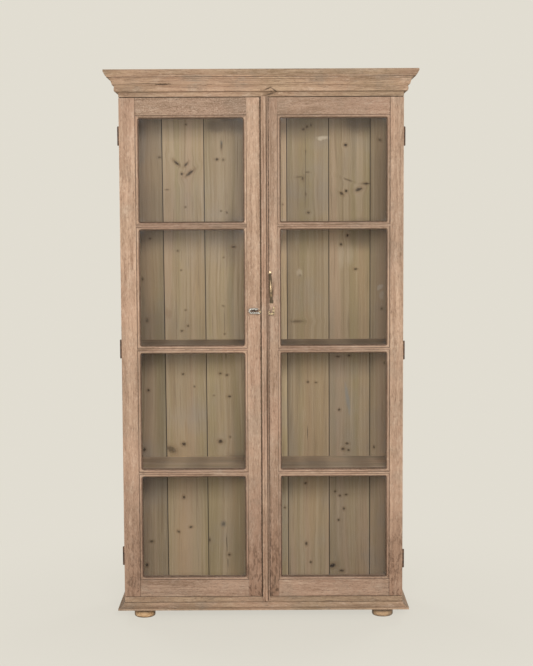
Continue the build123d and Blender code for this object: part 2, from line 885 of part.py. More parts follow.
def drop_hook():
    """Flat hook lying open: a bar from the ring, a curl at the far end and a return bar."""
    low_z = -hook_bar_drop
    high_z = low_z + 2 * hook_curl_radius
    curl_z = low_z + hook_curl_radius
    half = hook_bar_height / 2
    ring = Pos(*hook_path_point(0, 0)) * Circle(hook_ring_radius)
    low_bar = Rectangle(hook_curl_reach, hook_bar_height)
    low_bar = Pos(*hook_path_point(-hook_curl_reach / 2, low_z)) * low_bar
    tip_length = hook_curl_reach - hook_tip_reach
    tip_x = -(hook_curl_reach + hook_tip_reach) / 2
    high_bar = Pos(*hook_path_point(tip_x, high_z)) * Rectangle(tip_length, hook_bar_height)
    curl_centre = Pos(*hook_path_point(-hook_curl_reach, curl_z))
    curl = curl_centre * (Circle(hook_curl_radius + half) - Circle(hook_curl_radius - half))
    reach = hook_curl_radius + hook_bar_height
    curl = curl & (curl_centre * Pos(-reach, 0) * Rectangle(2 * reach, 2 * reach))
    tip = Pos(*hook_path_point(-hook_tip_reach, high_z)) * Circle(half)
    outline = low_bar + high_bar + curl + tip + ring
    outline -= Pos(*hook_path_point(0, 0)) * Circle(hook_pin_radius + hook_pin_clearance)
    return front_prism(outline, hook_front_y, hook_back_y)


def hook_post():
    """Screw with a spacer collar; the hook's ring turns between the collar and the head."""
    x, z = hook_path_point(0, 0)
    collar = rod_y(x, z, hook_spacer_radius, hook_back_y + hook_side_clearance, door_front_y)
    head_back = hook_front_y - hook_side_clearance
    pin = rod_y(x, z, hook_pin_radius, head_back, door_front_y + hook_screw_bite)
    head = rod_y(x, z, hook_head_radius, head_back - hook_head_height, head_back)
    head = fillet(head.edges().filter_by(GeomType.CIRCLE).group_by(Axis.Y)[0], hook_head_edge)
    return collar + pin + head


def hook_post_hole():
    x, z = hook_path_point(0, 0)
    end_y = door_front_y + hook_screw_bite + screw_clearance
    return rod_y(x, z, hook_pin_radius + screw_clearance, door_front_y - overcut, end_y)


def keeper():
    """Bracket that the hook's end drops into: screwed plate, bed, low front lip and a prong beside it."""
    x0 = keeper_left_x
    x1 = keeper_right_x
    slot_front = hook_front_y - keeper_slot_clearance
    lip_front = slot_front - keeper_metal
    prong_x = x0 + keeper_prong_width
    plate_x = x1 - keeper_plate_width
    body = block(plate_x, x1, door_front_y - keeper_metal, door_front_y, keeper_bottom, keeper_top)
    body += block(x0, x1, lip_front, door_front_y, keeper_bottom, keeper_bottom + keeper_metal)
    body += block(x0, x1, lip_front, slot_front, keeper_bottom, keeper_bottom + keeper_lip_height)
    body += block(x0, prong_x, lip_front, slot_front, keeper_bottom, keeper_bottom + keeper_prong_height)
    for x, z in keeper_screw_places():
        body -= keeper_screw_hole(x, z)
    return body


def keeper_screw_places():
    x = keeper_right_x - keeper_plate_width / 2
    return [(x, keeper_bottom + keeper_screw_inset), (x, keeper_top - keeper_screw_inset)]


def keeper_screw(x, z):
    """Round-headed screw through the keeper's plate into the stile."""
    plate_y = door_front_y - keeper_metal
    shank = rod_y(x, z, screw_radius, plate_y, plate_y + screw_length)
    head = rod_y(x, z, keeper_screw_head_radius, plate_y - keeper_screw_head_height, plate_y)
    head = fillet(head.edges().filter_by(GeomType.CIRCLE).group_by(Axis.Y)[0], hook_head_edge)
    return shank + head


def keeper_screw_hole(x, z):
    plate_y = door_front_y - keeper_metal
    end_y = plate_y + screw_length + screw_clearance
    return rod_y(x, z, screw_radius + screw_clearance, plate_y - overcut, end_y)


def export_carcass():
    nails = nail_places()
    nail_holes = Compound([nail(x, z, nail_clearance) for x, z in nails])
    for side, name in ((-1, "left"), (1, "right")):
        panel = side_panel(side)
        centres = hinge_centres_left if side < 0 else hinge_centres_right
        for centre in centres:
            panel -= leaf_recess(side, centre, False)
            for z in screw_heights(centre):
                panel -= leaf_screw(side, z, False, screw_clearance)
        write(f"side_{name}", panel)
        write(f"cornice_{name}", side_moulding(crown_outline(), side, frieze_bottom, slab_overhang, 0))
        write(f"base_{name}", side_moulding(base_outline(), side, foot_height, base_projection, base_stock))
    write("cornice_front", front_moulding(crown_outline(), frieze_bottom, slab_overhang, 0))
    write("base_front", front_moulding(base_outline(), foot_height, base_projection, base_stock))
    write("base_back", base_back_rail())
    write("frieze_rail", frieze())
    write("top_slab", top_slab())
    write("floor_board", floor_panel() - nail_holes)
    write("ceiling_board", housed_board(ceiling_bottom, door_top, carcass_front_y) - nail_holes)
    for name, top in zip(("lower", "middle", "upper"), shelf_levels()):
        write(f"shelf_{name}", housed_board(top - shelf_thickness, top, shelf_front_y) - nail_holes)
    for number, board in enumerate(back_boards(), start=1):
        write(f"back_board_{number}", board - nail_holes)
    write("back_nails", *[nail(x, z) for x, z in nails])
    for name, (x, y) in foot_places().items():
        write(f"foot_{name}", foot(x, y))
    write("foot_blocks", *[foot_block(x, y) for x, y in foot_places().values()])


def export_hinges():
    hung = [(-1, centre) for centre in hinge_centres_left] + [(1, centre) for centre in hinge_centres_right]
    write("hinge_frame_leaves", *[leaf(side, centre, False) for side, centre in hung])
    write("hinge_pins", *[hinge_pin(side, centre) for side, centre in hung])
    write(
        "hinge_frame_screws",
        *[leaf_screw(side, z, False) for side, centre in hung for z in screw_heights(centre)],
    )


def export_door(name, side, x0, x1, left_stile_width, right_stile_width, centres):
    corner = left_corner_radius if side < 0 else right_corner_radius
    pieces, left_stile, right_stile, sight_left, sight_right = door_pieces(
        x0, x1, left_stile_width, right_stile_width, corner
    )
    hinge_stile, meeting_stile = (left_stile, right_stile) if side < 0 else (right_stile, left_stile)
    for centre in centres:
        hinge_stile -= leaf_recess(side, centre, True)
        for z in screw_heights(centre):
            hinge_stile -= leaf_screw(side, z, True, screw_clearance)
    if side < 0:
        meeting_stile -= hook_post_hole()
    else:
        for z in (pull_top_foot, pull_bottom_foot):
            meeting_stile -= pull_screw_bore(z)
        for x, z in keeper_screw_places():
            meeting_stile -= keeper_screw_hole(x, z)
    write(f"{name}_hinge_stile", hinge_stile)
    write(f"{name}_meeting_stile", meeting_stile)
    for piece_name, solid in pieces.items():
        write(f"{name}_{piece_name}", solid)
    write(f"{name}_panes", *glass_panes(sight_left, sight_right))
    write(f"{name}_glazing_beads", *glazing_beads(sight_left, sight_right))
    write(f"{name}_hinge_leaves", *[leaf(side, centre, True) for centre in centres])
    write(
        f"{name}_hinge_screws",
        *[leaf_screw(side, z, True) for centre in centres for z in screw_heights(centre)],
    )


def main():
    os.makedirs("parts", exist_ok=True)
    export_carcass()
    export_hinges()
    export_door(
        "left", -1, -half_body, left_door_edge, left_hinge_stile, left_meeting_stile, hinge_centres_left
    )
    export_door(
        "right", 1, right_door_edge, half_body, right_meeting_stile, right_hinge_stile, hinge_centres_right
    )
    write("closing_strip", closing_strip())
    write("bow_pull", bow_pull())
    pull_screws = [pull_screw(z) for z in (pull_top_foot, pull_bottom_foot)]
    write("fitting_screws", *pull_screws, *[keeper_screw(x, z) for x, z in keeper_screw_places()])
    write("drop_hook", drop_hook())
    write("hook_post", hook_post())
    write("hook_keeper", keeper())


main()
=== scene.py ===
import math
import random

import bmesh
import bpy
from mathutils import Matrix, Vector

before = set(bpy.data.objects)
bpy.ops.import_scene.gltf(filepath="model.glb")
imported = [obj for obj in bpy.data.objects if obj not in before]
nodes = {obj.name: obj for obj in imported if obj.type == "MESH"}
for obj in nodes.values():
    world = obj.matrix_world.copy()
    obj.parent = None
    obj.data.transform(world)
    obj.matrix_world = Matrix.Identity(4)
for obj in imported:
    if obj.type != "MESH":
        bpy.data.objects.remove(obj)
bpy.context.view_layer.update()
scene = bpy.context.scene

# Numbers of the axes, as the seams name them
X, Y, Z = 0, 1, 2
MM = 1000.0

# Colours of the oak frame
PALE_OAK = (0.440, 0.300, 0.210)
DEEP_OAK = (0.215, 0.134, 0.085)
PALE_CORNICE = (0.405, 0.282, 0.182)
DEEP_CORNICE = (0.200, 0.130, 0.078)
PINK_OAK = (0.430, 0.262, 0.182)
GREY_OAK = (0.268, 0.205, 0.150)
LIMED_OAK = (0.580, 0.450, 0.345)
DARK_OAK = (0.105, 0.062, 0.038)
RED_OAK = (0.260, 0.145, 0.092)
ROUGH_OAK = (0.12, 0.066, 0.040)
# Dark lines and hollows: dirt in the joints, and painted shade along creases, steps and grooves
SEAM_DIRT_AND_SHADE = (0.060, 0.036, 0.024)
GROOVE_DIRT_AND_SHADE = (0.075, 0.046, 0.030)
OAK_HALO = (0.20, 0.125, 0.075)
# Dark of knots and cracks, also of the painted shadows of the pull and the hook
OAK_KNOT_AND_SHADOW = (0.045, 0.028, 0.018)

# Colours of the softwood boards and shelves
PALE_PINE = (0.410, 0.322, 0.215)
DEEP_PINE = (0.352, 0.268, 0.168)
PALE_SHELF = (0.50, 0.385, 0.285)
DEEP_SHELF = (0.36, 0.27, 0.19)
PINK_PINE = (0.430, 0.310, 0.215)
OLIVE_PINE = (0.325, 0.262, 0.145)
GREY_PINE = (0.335, 0.285, 0.235)
YELLOW_PINE = (0.395, 0.280, 0.165)
ASH_PINE = (0.305, 0.262, 0.205)
LINE_PINE = (0.22, 0.160, 0.100)
STREAK_PINE = (0.225, 0.160, 0.098)
BRIGHT_PINE = (0.52, 0.42, 0.30)
FILM_PINE = (0.19, 0.155, 0.115)
PINE_HALO = (0.235, 0.148, 0.080)
PINE_KNOT = (0.060, 0.040, 0.025)
PINE_CRACK = (0.055, 0.040, 0.028)
JOINT_DIRT = (0.040, 0.026, 0.016)
PINE_TONE = (0.97, 0.94, 0.88)

# Colours of the stain marks, scuffs, dust and painted shade on the boards and shelves
BROWN_STAIN = (0.30, 0.20, 0.12)
# Painted shade and painted shadow: the darkening of the back boards where the frame and the sides shade them
LIGHT_PAINTED_SHADE = (0.235, 0.180, 0.125)
PAINTED_SHADE = (0.170, 0.125, 0.088)
DEEP_PAINTED_SHADE = (0.16, 0.115, 0.078)
# A darker patch, used near the top of the fifth board
DARK_TOP_PATCH = (0.27, 0.205, 0.140)
BLUE_STAIN = (0.17, 0.21, 0.22)
GREY_STAIN = (0.25, 0.27, 0.28)
SCUFF = (0.57, 0.49, 0.385)
PALE_SCUFF = (0.60, 0.52, 0.41)
GREY_SCUFF = (0.58, 0.54, 0.47)
DUST_COLOUR = (0.62, 0.52, 0.40)
GRIME_COLOUR = (0.17, 0.13, 0.095)

# Colours of the turned feet
DEEP_HONEY = (0.44, 0.262, 0.128)
PALE_HONEY = (0.70, 0.470, 0.265)
# Painted shade on the feet: under the base, at the floor and at the sides
FOOT_TOP_SHADE = (0.120, 0.070, 0.036)
FOOT_FLOOR_SHADE = (0.130, 0.078, 0.042)
FOOT_SIDE_SHADE = (0.150, 0.088, 0.046)
FOOT_BLOT = (0.26, 0.17, 0.10)
FOOT_BROWN = (0.24, 0.175, 0.125)

# Colours of the metal, the glass and the background
BRASS_BRIGHT, BRASS_DULL = (0.40, 0.29, 0.175), (0.085, 0.060, 0.036)
DARK_BRASS_BRIGHT, DARK_BRASS_DULL = (0.22, 0.165, 0.095), (0.055, 0.040, 0.026)
STEEL_BRIGHT, STEEL_DULL = (0.185, 0.172, 0.148), (0.026, 0.022, 0.018)
IRON_BLACK, RUST_BROWN, RUST_DUST = (0.055, 0.040, 0.034), (0.17, 0.085, 0.045), (0.24, 0.14, 0.085)
GLASS_HAZE = (0.30, 0.34, 0.38)
LINEN = (0.755, 0.722, 0.640)
WHITE = (1.0, 1.0, 1.0)

# In millimetres: how far a pane runs under the frame round it, half the height of a glazing bar between
# its sight edges, and the width of the moulding round the panes
PANE_LAP = 7.0
BAR_HALF = 16.0
MOULDING = 13.0
BAR_NUMBERS = (1, 2, 3)


def extent(name, axis):
    """Lowest and highest place of a piece along one axis, in millimetres, read from the frame."""
    places = [vertex.co[axis] * MM for vertex in nodes[name].data.vertices]
    return min(places), max(places)


def middle(name, axis):
    return sum(extent(name, axis)) / 2


def sight_width(side):
    """Left and right sight edge of the panes of one door."""
    left, right = extent(side + "_panes", X)
    return left + PANE_LAP, right - PANE_LAP


def sight_heights(side):
    """Lower and upper sight edge of each pane of one door, lowest pane first."""
    low, high = extent(side + "_panes", Z)
    edges = [low + PANE_LAP]
    for number in BAR_NUMBERS:
        bar = middle("%s_bar_%d" % (side, number), Z)
        edges += [bar - BAR_HALF, bar + BAR_HALF]
    edges.append(high - PANE_LAP)
    return list(zip(edges[::2], edges[1::2]))


# Places that the dirt and painted shade follow: sight edges, joints of stile and rail, fronts and edges
LEFT_SIGHT, RIGHT_SIGHT = sight_width("left"), sight_width("right")
LEFT_JOINTS = (LEFT_SIGHT[0] - MOULDING, LEFT_SIGHT[1] + MOULDING)
RIGHT_JOINTS = (RIGHT_SIGHT[0] - MOULDING, RIGHT_SIGHT[1] + MOULDING)
DOOR_FRONT = extent("left_top_rail", Y)[0]
DOOR_EDGE = extent("left_meeting_stile", X)[1]
STRIP_FRONT = extent("closing_strip", Y)[0]
STRIP_LEFT, STRIP_RIGHT = extent("closing_strip", X)
BOARD_FRONT = extent("back_board_1", Y)[0]
FOOT_MIDDLE = middle("foot_front_right", X)


class Graph:
    """Thin wrapper that adds nodes to a tree and wires their inputs."""

    def __init__(self, tree):
        self.tree = tree

    def put(self, socket, value):
        """Links a socket to an input or sets the input's value, with alpha 1 for a plain colour."""
        if isinstance(value, bpy.types.NodeSocket):
            self.tree.links.new(value, socket)
        elif value is not None:
            if isinstance(value, (tuple, list)) and len(value) == 3 and socket.type == "RGBA":
                value = (*value, 1.0)
            socket.default_value = value

    def add(self, kind, props=None, **inputs):
        node = self.tree.nodes.new(kind)
        for key, value in (props or {}).items():
            setattr(node, key, value)
        for key, value in inputs.items():
            self.put(node.inputs[key.replace("_", " ")], value)
        return node

    def math(self, operation, a, b=None):
        node = self.add("ShaderNodeMath", {"operation": operation})
        for socket, value in zip(node.inputs, (a, b)):
            self.put(socket, value)
        return node.outputs[0]

    def vector(self, operation, a, b):
        node = self.add("ShaderNodeVectorMath", {"operation": operation})
        self.put(node.inputs[0], a)
        self.put(node.inputs[1], b)
        return node.outputs["Value" if operation == "DOT_PRODUCT" else "Vector"]

    def spread(self, value, low, high, to_low=0.0, to_high=1.0):
        """Smooth step from to_low at low to to_high at high; low may be the larger of the two."""
        node = self.add("ShaderNodeMapRange", {"interpolation_type": "SMOOTHSTEP"}, Value=value, From_Min=low,
                        From_Max=high, To_Min=to_low, To_Max=to_high)
        return node.outputs[0]

    def noise(self, place, scale, detail=3.0, rough=0.55):
        return self.add("ShaderNodeTexNoise", Vector=place, Scale=scale, Detail=detail,
                        Roughness=rough).outputs["Fac"]

    def stretch(self, place, scales):
        return self.add("ShaderNodeMapping", Vector=place, Scale=scales).outputs[0]

    def grain(self, place, scales, detail=3.0, rough=0.55):
        """Noise with its own scale along each axis."""
        return self.noise(self.stretch(place, scales), 1.0, detail, rough)

    def mix(self, factor, a, b, blend="MIX"):
        node = self.add("ShaderNodeMix", {"data_type": "RGBA", "blend_type": blend, "clamp_factor": True})
        self.put(node.inputs[0], factor)
        self.put(node.inputs[6], a)
        self.put(node.inputs[7], b)
        return node.outputs[2]

    def tint(self, colour, mask, strength, other):
        """Takes a colour toward another by a mask times a strength."""
        return self.mix(self.math("MULTIPLY", mask, strength), colour, other)

    def shade(self, colour, factor):
        """Multiplies a colour by one grey factor."""
        grey = self.add("ShaderNodeCombineColor", Red=factor, Green=factor, Blue=factor).outputs[0]
        return self.mix(1.0, colour, grey, "MULTIPLY")

    def object_place(self):
        return self.add("ShaderNodeTexCoord").outputs["Object"]

    def axes(self, place):
        return self.add("ShaderNodeSeparateXYZ", Vector=place).outputs

    def combine(self, **parts):
        return self.add("ShaderNodeCombineXYZ", **parts).outputs[0]

    def distance(self, value, centre):
        return self.math("ABSOLUTE", self.math("SUBTRACT", value, centre))

    def bump(self, height, strength, distance):
        return self.add("ShaderNodeBump", Height=height, Strength=strength, Distance=distance).outputs[0]


def new_material(name):
    material = bpy.data.materials.new(name)
    material.use_nodes = True
    tree = material.node_tree
    tree.nodes.clear()
    graph = Graph(tree)
    output = graph.add("ShaderNodeOutputMaterial")
    shader = graph.add("ShaderNodeBsdfPrincipled")
    tree.links.new(shader.outputs[0], output.inputs[0])
    return material, graph, shader


# Reach of a mark and of its halo, in its own half widths: none at the first number, full at the second
MARK_FADE = (1.25, 0.45)
HALO_FADE = (2.6, 0.9)

# How strongly a mark bends the growth lines beside it, and how fast that fades with distance
PUSH_SHARE = 0.75
PUSH_FADE = 0.16


def mark_group():
    """One knot, stain, crack, dent or patch of painted shadow at a place on the XZ face of a board, joined to
    those before it.
    """
    group = bpy.data.node_groups.new("board_mark", "ShaderNodeTree")
    face = group.interface
    for name in ("Place", "Centre", "Long", "Short"):
        face.new_socket(name, in_out="INPUT", socket_type="NodeSocketVector")
    for name in ("Strength", "Push", "Wobble", "Mark", "Halo", "Shift"):
        face.new_socket(name, in_out="INPUT", socket_type="NodeSocketFloat")
    for name in ("Mark", "Halo", "Shift"):
        face.new_socket(name, in_out="OUTPUT", socket_type="NodeSocketFloat")
    g = Graph(group)
    given = group.nodes.new("NodeGroupInput").outputs
    result = group.nodes.new("NodeGroupOutput").inputs
    away = g.vector("SUBTRACT", given["Place"], given["Centre"])
    u = g.vector("DOT_PRODUCT", away, given["Long"])
    v = g.vector("DOT_PRODUCT", away, given["Short"])
    square = g.math("ADD", g.math("MULTIPLY", u, u), g.math("MULTIPLY", v, v))
    radius = g.math("ADD", g.math("SQRT", square), given["Wobble"])
    mark = g.math("MULTIPLY", g.spread(radius, *MARK_FADE), given["Strength"])
    halo = g.math("MULTIPLY", g.spread(radius, *HALO_FADE), given["Strength"])
    fade = g.math("EXPONENT", g.math("MULTIPLY", square, -PUSH_FADE))
    side = g.vector("DOT_PRODUCT", away, (1, 0, 0))
    push = g.math("MULTIPLY", g.math("MULTIPLY", fade, side), given["Push"])
    group.links.new(g.math("MAXIMUM", mark, given["Mark"]), result["Mark"])
    group.links.new(g.math("MAXIMUM", halo, given["Halo"]), result["Halo"])
    group.links.new(g.math("ADD", push, given["Shift"]), result["Shift"])
    return group


MARK = mark_group()


def add_marks(g, place, marks):
    """Chains the marks of one board. Each is x, z, half length, half width (mm), turn (degrees), strength.

    Gives the mark, its softer halo and the sideways shift that bends the growth lines round it.
    """
    wobble = g.math("MULTIPLY", g.math("SUBTRACT", g.noise(place, 160.0, 3.0, 0.6), 0.5), 1.3)
    mark, halo, shift = 0.0, 0.0, 0.0
    for x, z, half_long, half_short, turn, strength in marks:
        a = math.radians(turn)
        node = g.tree.nodes.new("ShaderNodeGroup")
        node.node_tree = MARK
        long = (math.cos(a) / half_long * MM, 0, math.sin(a) / half_long * MM)
        short = (-math.sin(a) / half_short * MM, 0, math.cos(a) / half_short * MM)
        for key, value in (
            ("Place", place), ("Centre", (x / MM, 0, z / MM)), ("Long", long), ("Short", short),
            ("Strength", strength), ("Push", -PUSH_SHARE * strength), ("Wobble", wobble),
            ("Mark", mark), ("Halo", halo), ("Shift", shift),
        ):
            g.put(node.inputs[key], value)
        mark, halo, shift = (node.outputs[key] for key in ("Mark", "Halo", "Shift"))
    return mark, halo, shift


def grain_place(g, along, seed):
    """Object coordinates: plain, and with the grain turned to the third axis and shifted by the seed."""
    place = g.object_place()
    parts = g.axes(place)
    order = {"Z": (0, 1, 2), "X": (2, 1, 0), "Y": (0, 2, 1)}[along]
    turned = g.combine(X=parts[order[0]], Y=parts[order[1]], Z=parts[order[2]])
    step = random.Random(seed)
    return place, g.vector("ADD", turned, [step.uniform(-9, 9) for _ in range(3)])


def oak(name, along, seed, pale=PALE_OAK, deep=DEEP_OAK, level=1.0, marks=(), curl=0.0, wear_and_low_shade=0.0, weather=0.0,
        calm=0.0, seams=(), hollows=(), levels=()):
    """Dry, slightly limed oak: fine pores, streaks, curly figure, pale residue, grime, painted shade and grey
    weathering.

    curl, wear_and_low_shade, weather and calm run from 0 to about 1: speckled figure, rough reddish rubbing
    and painted shade low down, grey weathering, and a more even figure.
    Seams are (axis, place, half width, strength): dark lines, dirt in the joints and painted shade along
    creases, steps and beside parts; places and widths in millimetres.
    A fifth number is the depth Y at which the line ends, so that it stays off the edge behind the face.
    Hollows are (from, to, strength): dirt and painted shade that fill grooves between two depths Y in
    millimetres.
    Levels are (height, factor): brightness along the height, heights in millimetres, lowest first.
    """
    material, g, shader = new_material(name)
    place, turned = grain_place(g, along, seed)
    axes = g.axes(place)
    mark, halo, shift = add_marks(g, place, marks)
    if marks:
        turned = g.vector("ADD", turned, g.combine(X=shift))
    sway = g.math("MULTIPLY", g.math("SUBTRACT", g.grain(turned, (6, 6, 1.6)), 0.5), 0.045)
    bent = g.vector("ADD", turned, g.combine(X=sway, Y=sway))

    # Figure of the wood, from broad to fine
    patches = g.noise(turned, 3.1, 3.0, 0.6)
    figure = g.grain(bent, (62, 45, 2.6), 4.0, 0.62)
    streak = g.grain(bent, (210, 210, 11), 4.0, 0.70)
    fleck = g.grain(bent, (250, 250, 58), 3.0, 0.8)
    pores = g.grain(bent, (620, 620, 62), 3.0, 0.7)
    pits = g.spread(g.grain(bent, (300, 300, 42), 3.0, 0.75), 0.60, 0.70)
    lime = g.spread(g.grain(turned, (40, 40, 16), 5.0, 0.75), 0.50, 0.72)
    grey = g.spread(g.noise(turned, 8.0, 5.0, 0.65), 0.48, 0.70)
    tone = g.math("ADD", g.math("MULTIPLY", figure, 0.55), g.math("MULTIPLY", streak, 0.45))
    colour = g.mix(g.spread(tone, 0.34 - 0.15 * calm, 0.63 + 0.15 * calm), deep, pale)
    colour = g.tint(colour, g.spread(patches, 0.38, 0.66), 0.42, PINK_OAK)
    colour = g.tint(colour, grey, 0.38 + 0.3 * weather, GREY_OAK)
    colour = g.tint(colour, lime, 0.34, LIMED_OAK)
    if curl:
        speckle = g.grain(bent, (330, 330, 210), 4.0, 0.75)
        colour = g.tint(colour, g.spread(speckle, 0.54, 0.66), curl, LIMED_OAK)
        colour = g.tint(colour, g.spread(speckle, 0.46, 0.34), curl, DARK_OAK)
    colour = g.tint(colour, g.spread(fleck, 0.55, 0.70), 0.42, LIMED_OAK)
    colour = g.tint(colour, g.spread(fleck, 0.46, 0.30), 0.50, DARK_OAK)
    colour = g.tint(colour, g.spread(pores, 0.44, 0.30), 0.42, DARK_OAK)
    colour = g.tint(colour, pits, 0.30 + 0.3 * weather, DARK_OAK)

    # Rubbing and painted shade low on the stiles, dirt and painted shade in joints, creases and grooves,
    # knots
    if wear_and_low_shade:
        uneven = g.math("MULTIPLY", g.math("SUBTRACT", patches, 0.5), 0.9)
        low = g.spread(g.math("ADD", axes[Z], uneven), 0.62, 0.05)
        lumps = g.grain(bent, (95, 95, 30), 5.0, 0.75)
        rough_part = g.math("MULTIPLY", g.spread(lumps, 0.50, 0.62), low)
        # Darker and redder toward the bottom: partly rubbing, partly painted shade where the light falls off
        # low down
        colour = g.tint(colour, low, 0.55 * wear_and_low_shade, RED_OAK)
        colour = g.tint(colour, rough_part, 0.60 * wear_and_low_shade, ROUGH_OAK)
    ragged = g.noise(place, 130.0, 4.0, 0.7)
    for axis, where, half_width, strength, *depth_end in seams:
        reach = g.math("MULTIPLY", g.spread(ragged, 0.3, 0.7, 0.45, 1.6), half_width / MM)
        line = g.spread(g.math("DIVIDE", g.distance(axes[axis], where / MM), reach), 1.25, 0.75)
        for end in depth_end:
            line = g.math("MULTIPLY", line, g.spread(axes[Y], end / MM, end / MM + 0.002, 1.0, 0.0))
        # Dark lines: dirt in joints and painted shade along creases, steps and beside parts
        colour = g.tint(colour, line, strength, SEAM_DIRT_AND_SHADE)
    for start, end, strength in hollows:
        depth = g.spread(axes[Y], start / MM, start / MM + 0.0012)
        depth = g.math("MULTIPLY", depth, g.spread(axes[Y], end / MM, end / MM - 0.001))
        depth = g.math("MULTIPLY", depth, g.spread(ragged, 0.25, 0.55, 0.55, 1.0))
        # Dirt and painted shade in the grooves
        colour = g.tint(colour, depth, strength, GROOVE_DIRT_AND_SHADE)
    if marks:
        colour = g.tint(colour, halo, 0.35, OAK_HALO)
        # Knots and cracks, and painted shadows of the pull and the hook
        colour = g.tint(colour, mark, 0.9, OAK_KNOT_AND_SHADOW)
    colour = g.shade(colour, g.spread(g.noise(turned, 1.1, 2.0), 0.35, 0.65, 0.88 * level, 1.10 * level))
    for (z_below, below), (z_above, above) in zip(levels, levels[1:]):
        colour = g.shade(colour, g.spread(axes[Z], z_below / MM, z_above / MM, 1.0, above / below))

    g.put(shader.inputs["Base Color"], colour)
    g.put(shader.inputs["Roughness"], g.spread(tone, 0.3, 0.7, 0.92, 0.76))
    shader.inputs["Specular IOR Level"].default_value = 0.22
    height = g.math("ADD", g.math("MULTIPLY", streak, 0.5), g.math("MULTIPLY", pores, 0.5))
    height = g.math("SUBTRACT", height, g.math("MULTIPLY", pits, 0.45))
    if wear_and_low_shade:
        height = g.math("SUBTRACT", height, g.math("MULTIPLY", rough_part, 0.9 * wear_and_low_shade))
    if marks:
        height = g.math("SUBTRACT", height, g.math("MULTIPLY", mark, 0.8))
    g.put(shader.inputs["Normal"], g.bump(height, 0.9, 0.0018))
    return material


def pine(name, seed, marks=(), stains_and_shade=(), cracks=(), level=1.0, joint_from=None, along="Z", pale=PALE_PINE,
         deep=DEEP_PINE, dirt=0.0):
    """Old bare softwood: growth lines that bend round the knots, olive, pink and grey bands, cracks, dirt and
    patches of painted shade.

    stains_and_shade are (colour, strength, soft, marks): stain, dust and grime, and patches of painted shade;
    a soft one fills the halo of its marks.
    joint_from is the depth Y, in metres, where the dark dirt on the edges of a back board begins.
    """
    material, g, shader = new_material(name)
    place, turned = grain_place(g, along, seed)
    mark, halo, shift = add_marks(g, place, marks)
    turned = g.vector("ADD", turned, g.combine(X=shift))
    sway = g.math("MULTIPLY", g.math("SUBTRACT", g.grain(turned, (7, 7, 0.9), 2.0), 0.5), 0.05)
    bent = g.vector("ADD", turned, g.combine(X=sway))

    # Growth lines, bands and streaks
    rings = g.grain(bent, (84, 16, 0.8), 3.0, 0.5)
    fine = g.grain(bent, (420, 120, 8), 4.0, 0.65)
    bands = g.grain(bent, (15, 5, 0.45), 2.0, 0.5)
    coarse = g.grain(bent, (130, 60, 3.2), 4.0, 0.7)
    hue = g.grain(turned, (9, 5, 1.1), 3.0, 0.55)
    cloud = g.noise(turned, 4.0, 4.0, 0.6)
    colour = g.mix(g.spread(rings, 0.38, 0.62), deep, pale)
    colour = g.tint(colour, g.spread(bands, 0.50, 0.64), 0.70, PINK_PINE)
    colour = g.tint(colour, g.spread(bands, 0.48, 0.36), 0.70, OLIVE_PINE)
    colour = g.tint(colour, g.spread(cloud, 0.50, 0.74), 0.60, GREY_PINE)
    colour = g.tint(colour, g.spread(hue, 0.52, 0.70), 0.50, YELLOW_PINE)
    colour = g.tint(colour, g.spread(hue, 0.47, 0.30), 0.45, ASH_PINE)
    colour = g.tint(colour, g.spread(fine, 0.46, 0.30), 0.30, LINE_PINE)
    colour = g.tint(colour, g.spread(coarse, 0.46, 0.32), 0.50, STREAK_PINE)
    colour = g.tint(colour, g.spread(coarse, 0.55, 0.68), 0.34, BRIGHT_PINE)

    # Dirt, stains, knots, cracks and joints
    if dirt:
        film = g.grain(turned, (14, 14, 3.0), 5.0, 0.7)
        colour = g.tint(colour, g.spread(film, 0.45, 0.68), dirt, FILM_PINE)
    # Stain, dust and grime; on the back boards some of these are patches of painted shade
    for tint, strength, is_soft, places in stains_and_shade:
        hard, soft, _ = add_marks(g, place, places)
        colour = g.tint(colour, soft if is_soft else hard, strength, tint)
    colour = g.tint(colour, halo, 0.52, PINE_HALO)
    colour = g.mix(mark, colour, PINE_KNOT)
    if cracks:
        split, _, _ = add_marks(g, place, cracks)
        colour = g.mix(split, colour, PINE_CRACK)
    if joint_from is not None:
        depth = g.axes(place)[Y]
        inside = g.math("MULTIPLY", g.spread(depth, joint_from + 0.0006, joint_from + 0.002, 0.0, 0.93),
                        g.spread(depth, joint_from + 0.0088, joint_from + 0.0078))
        colour = g.mix(inside, colour, JOINT_DIRT)
    colour = g.mix(1.0, colour, PINE_TONE, "MULTIPLY")
    colour = g.shade(colour, g.spread(g.noise(turned, 1.4, 2.0), 0.35, 0.65, 0.92 * level, 1.07 * level))

    g.put(shader.inputs["Base Color"], colour)
    g.put(shader.inputs["Roughness"], g.spread(fine, 0.3, 0.7, 0.92, 0.80))
    shader.inputs["Specular IOR Level"].default_value = 0.18
    height = g.math("ADD", g.math("MULTIPLY", rings, 0.3), g.math("MULTIPLY", fine, 0.4))
    height = g.math("SUBTRACT", height, g.math("MULTIPLY", mark, 0.5))
    g.put(shader.inputs["Normal"], g.bump(height, 0.5, 0.001))
    return material


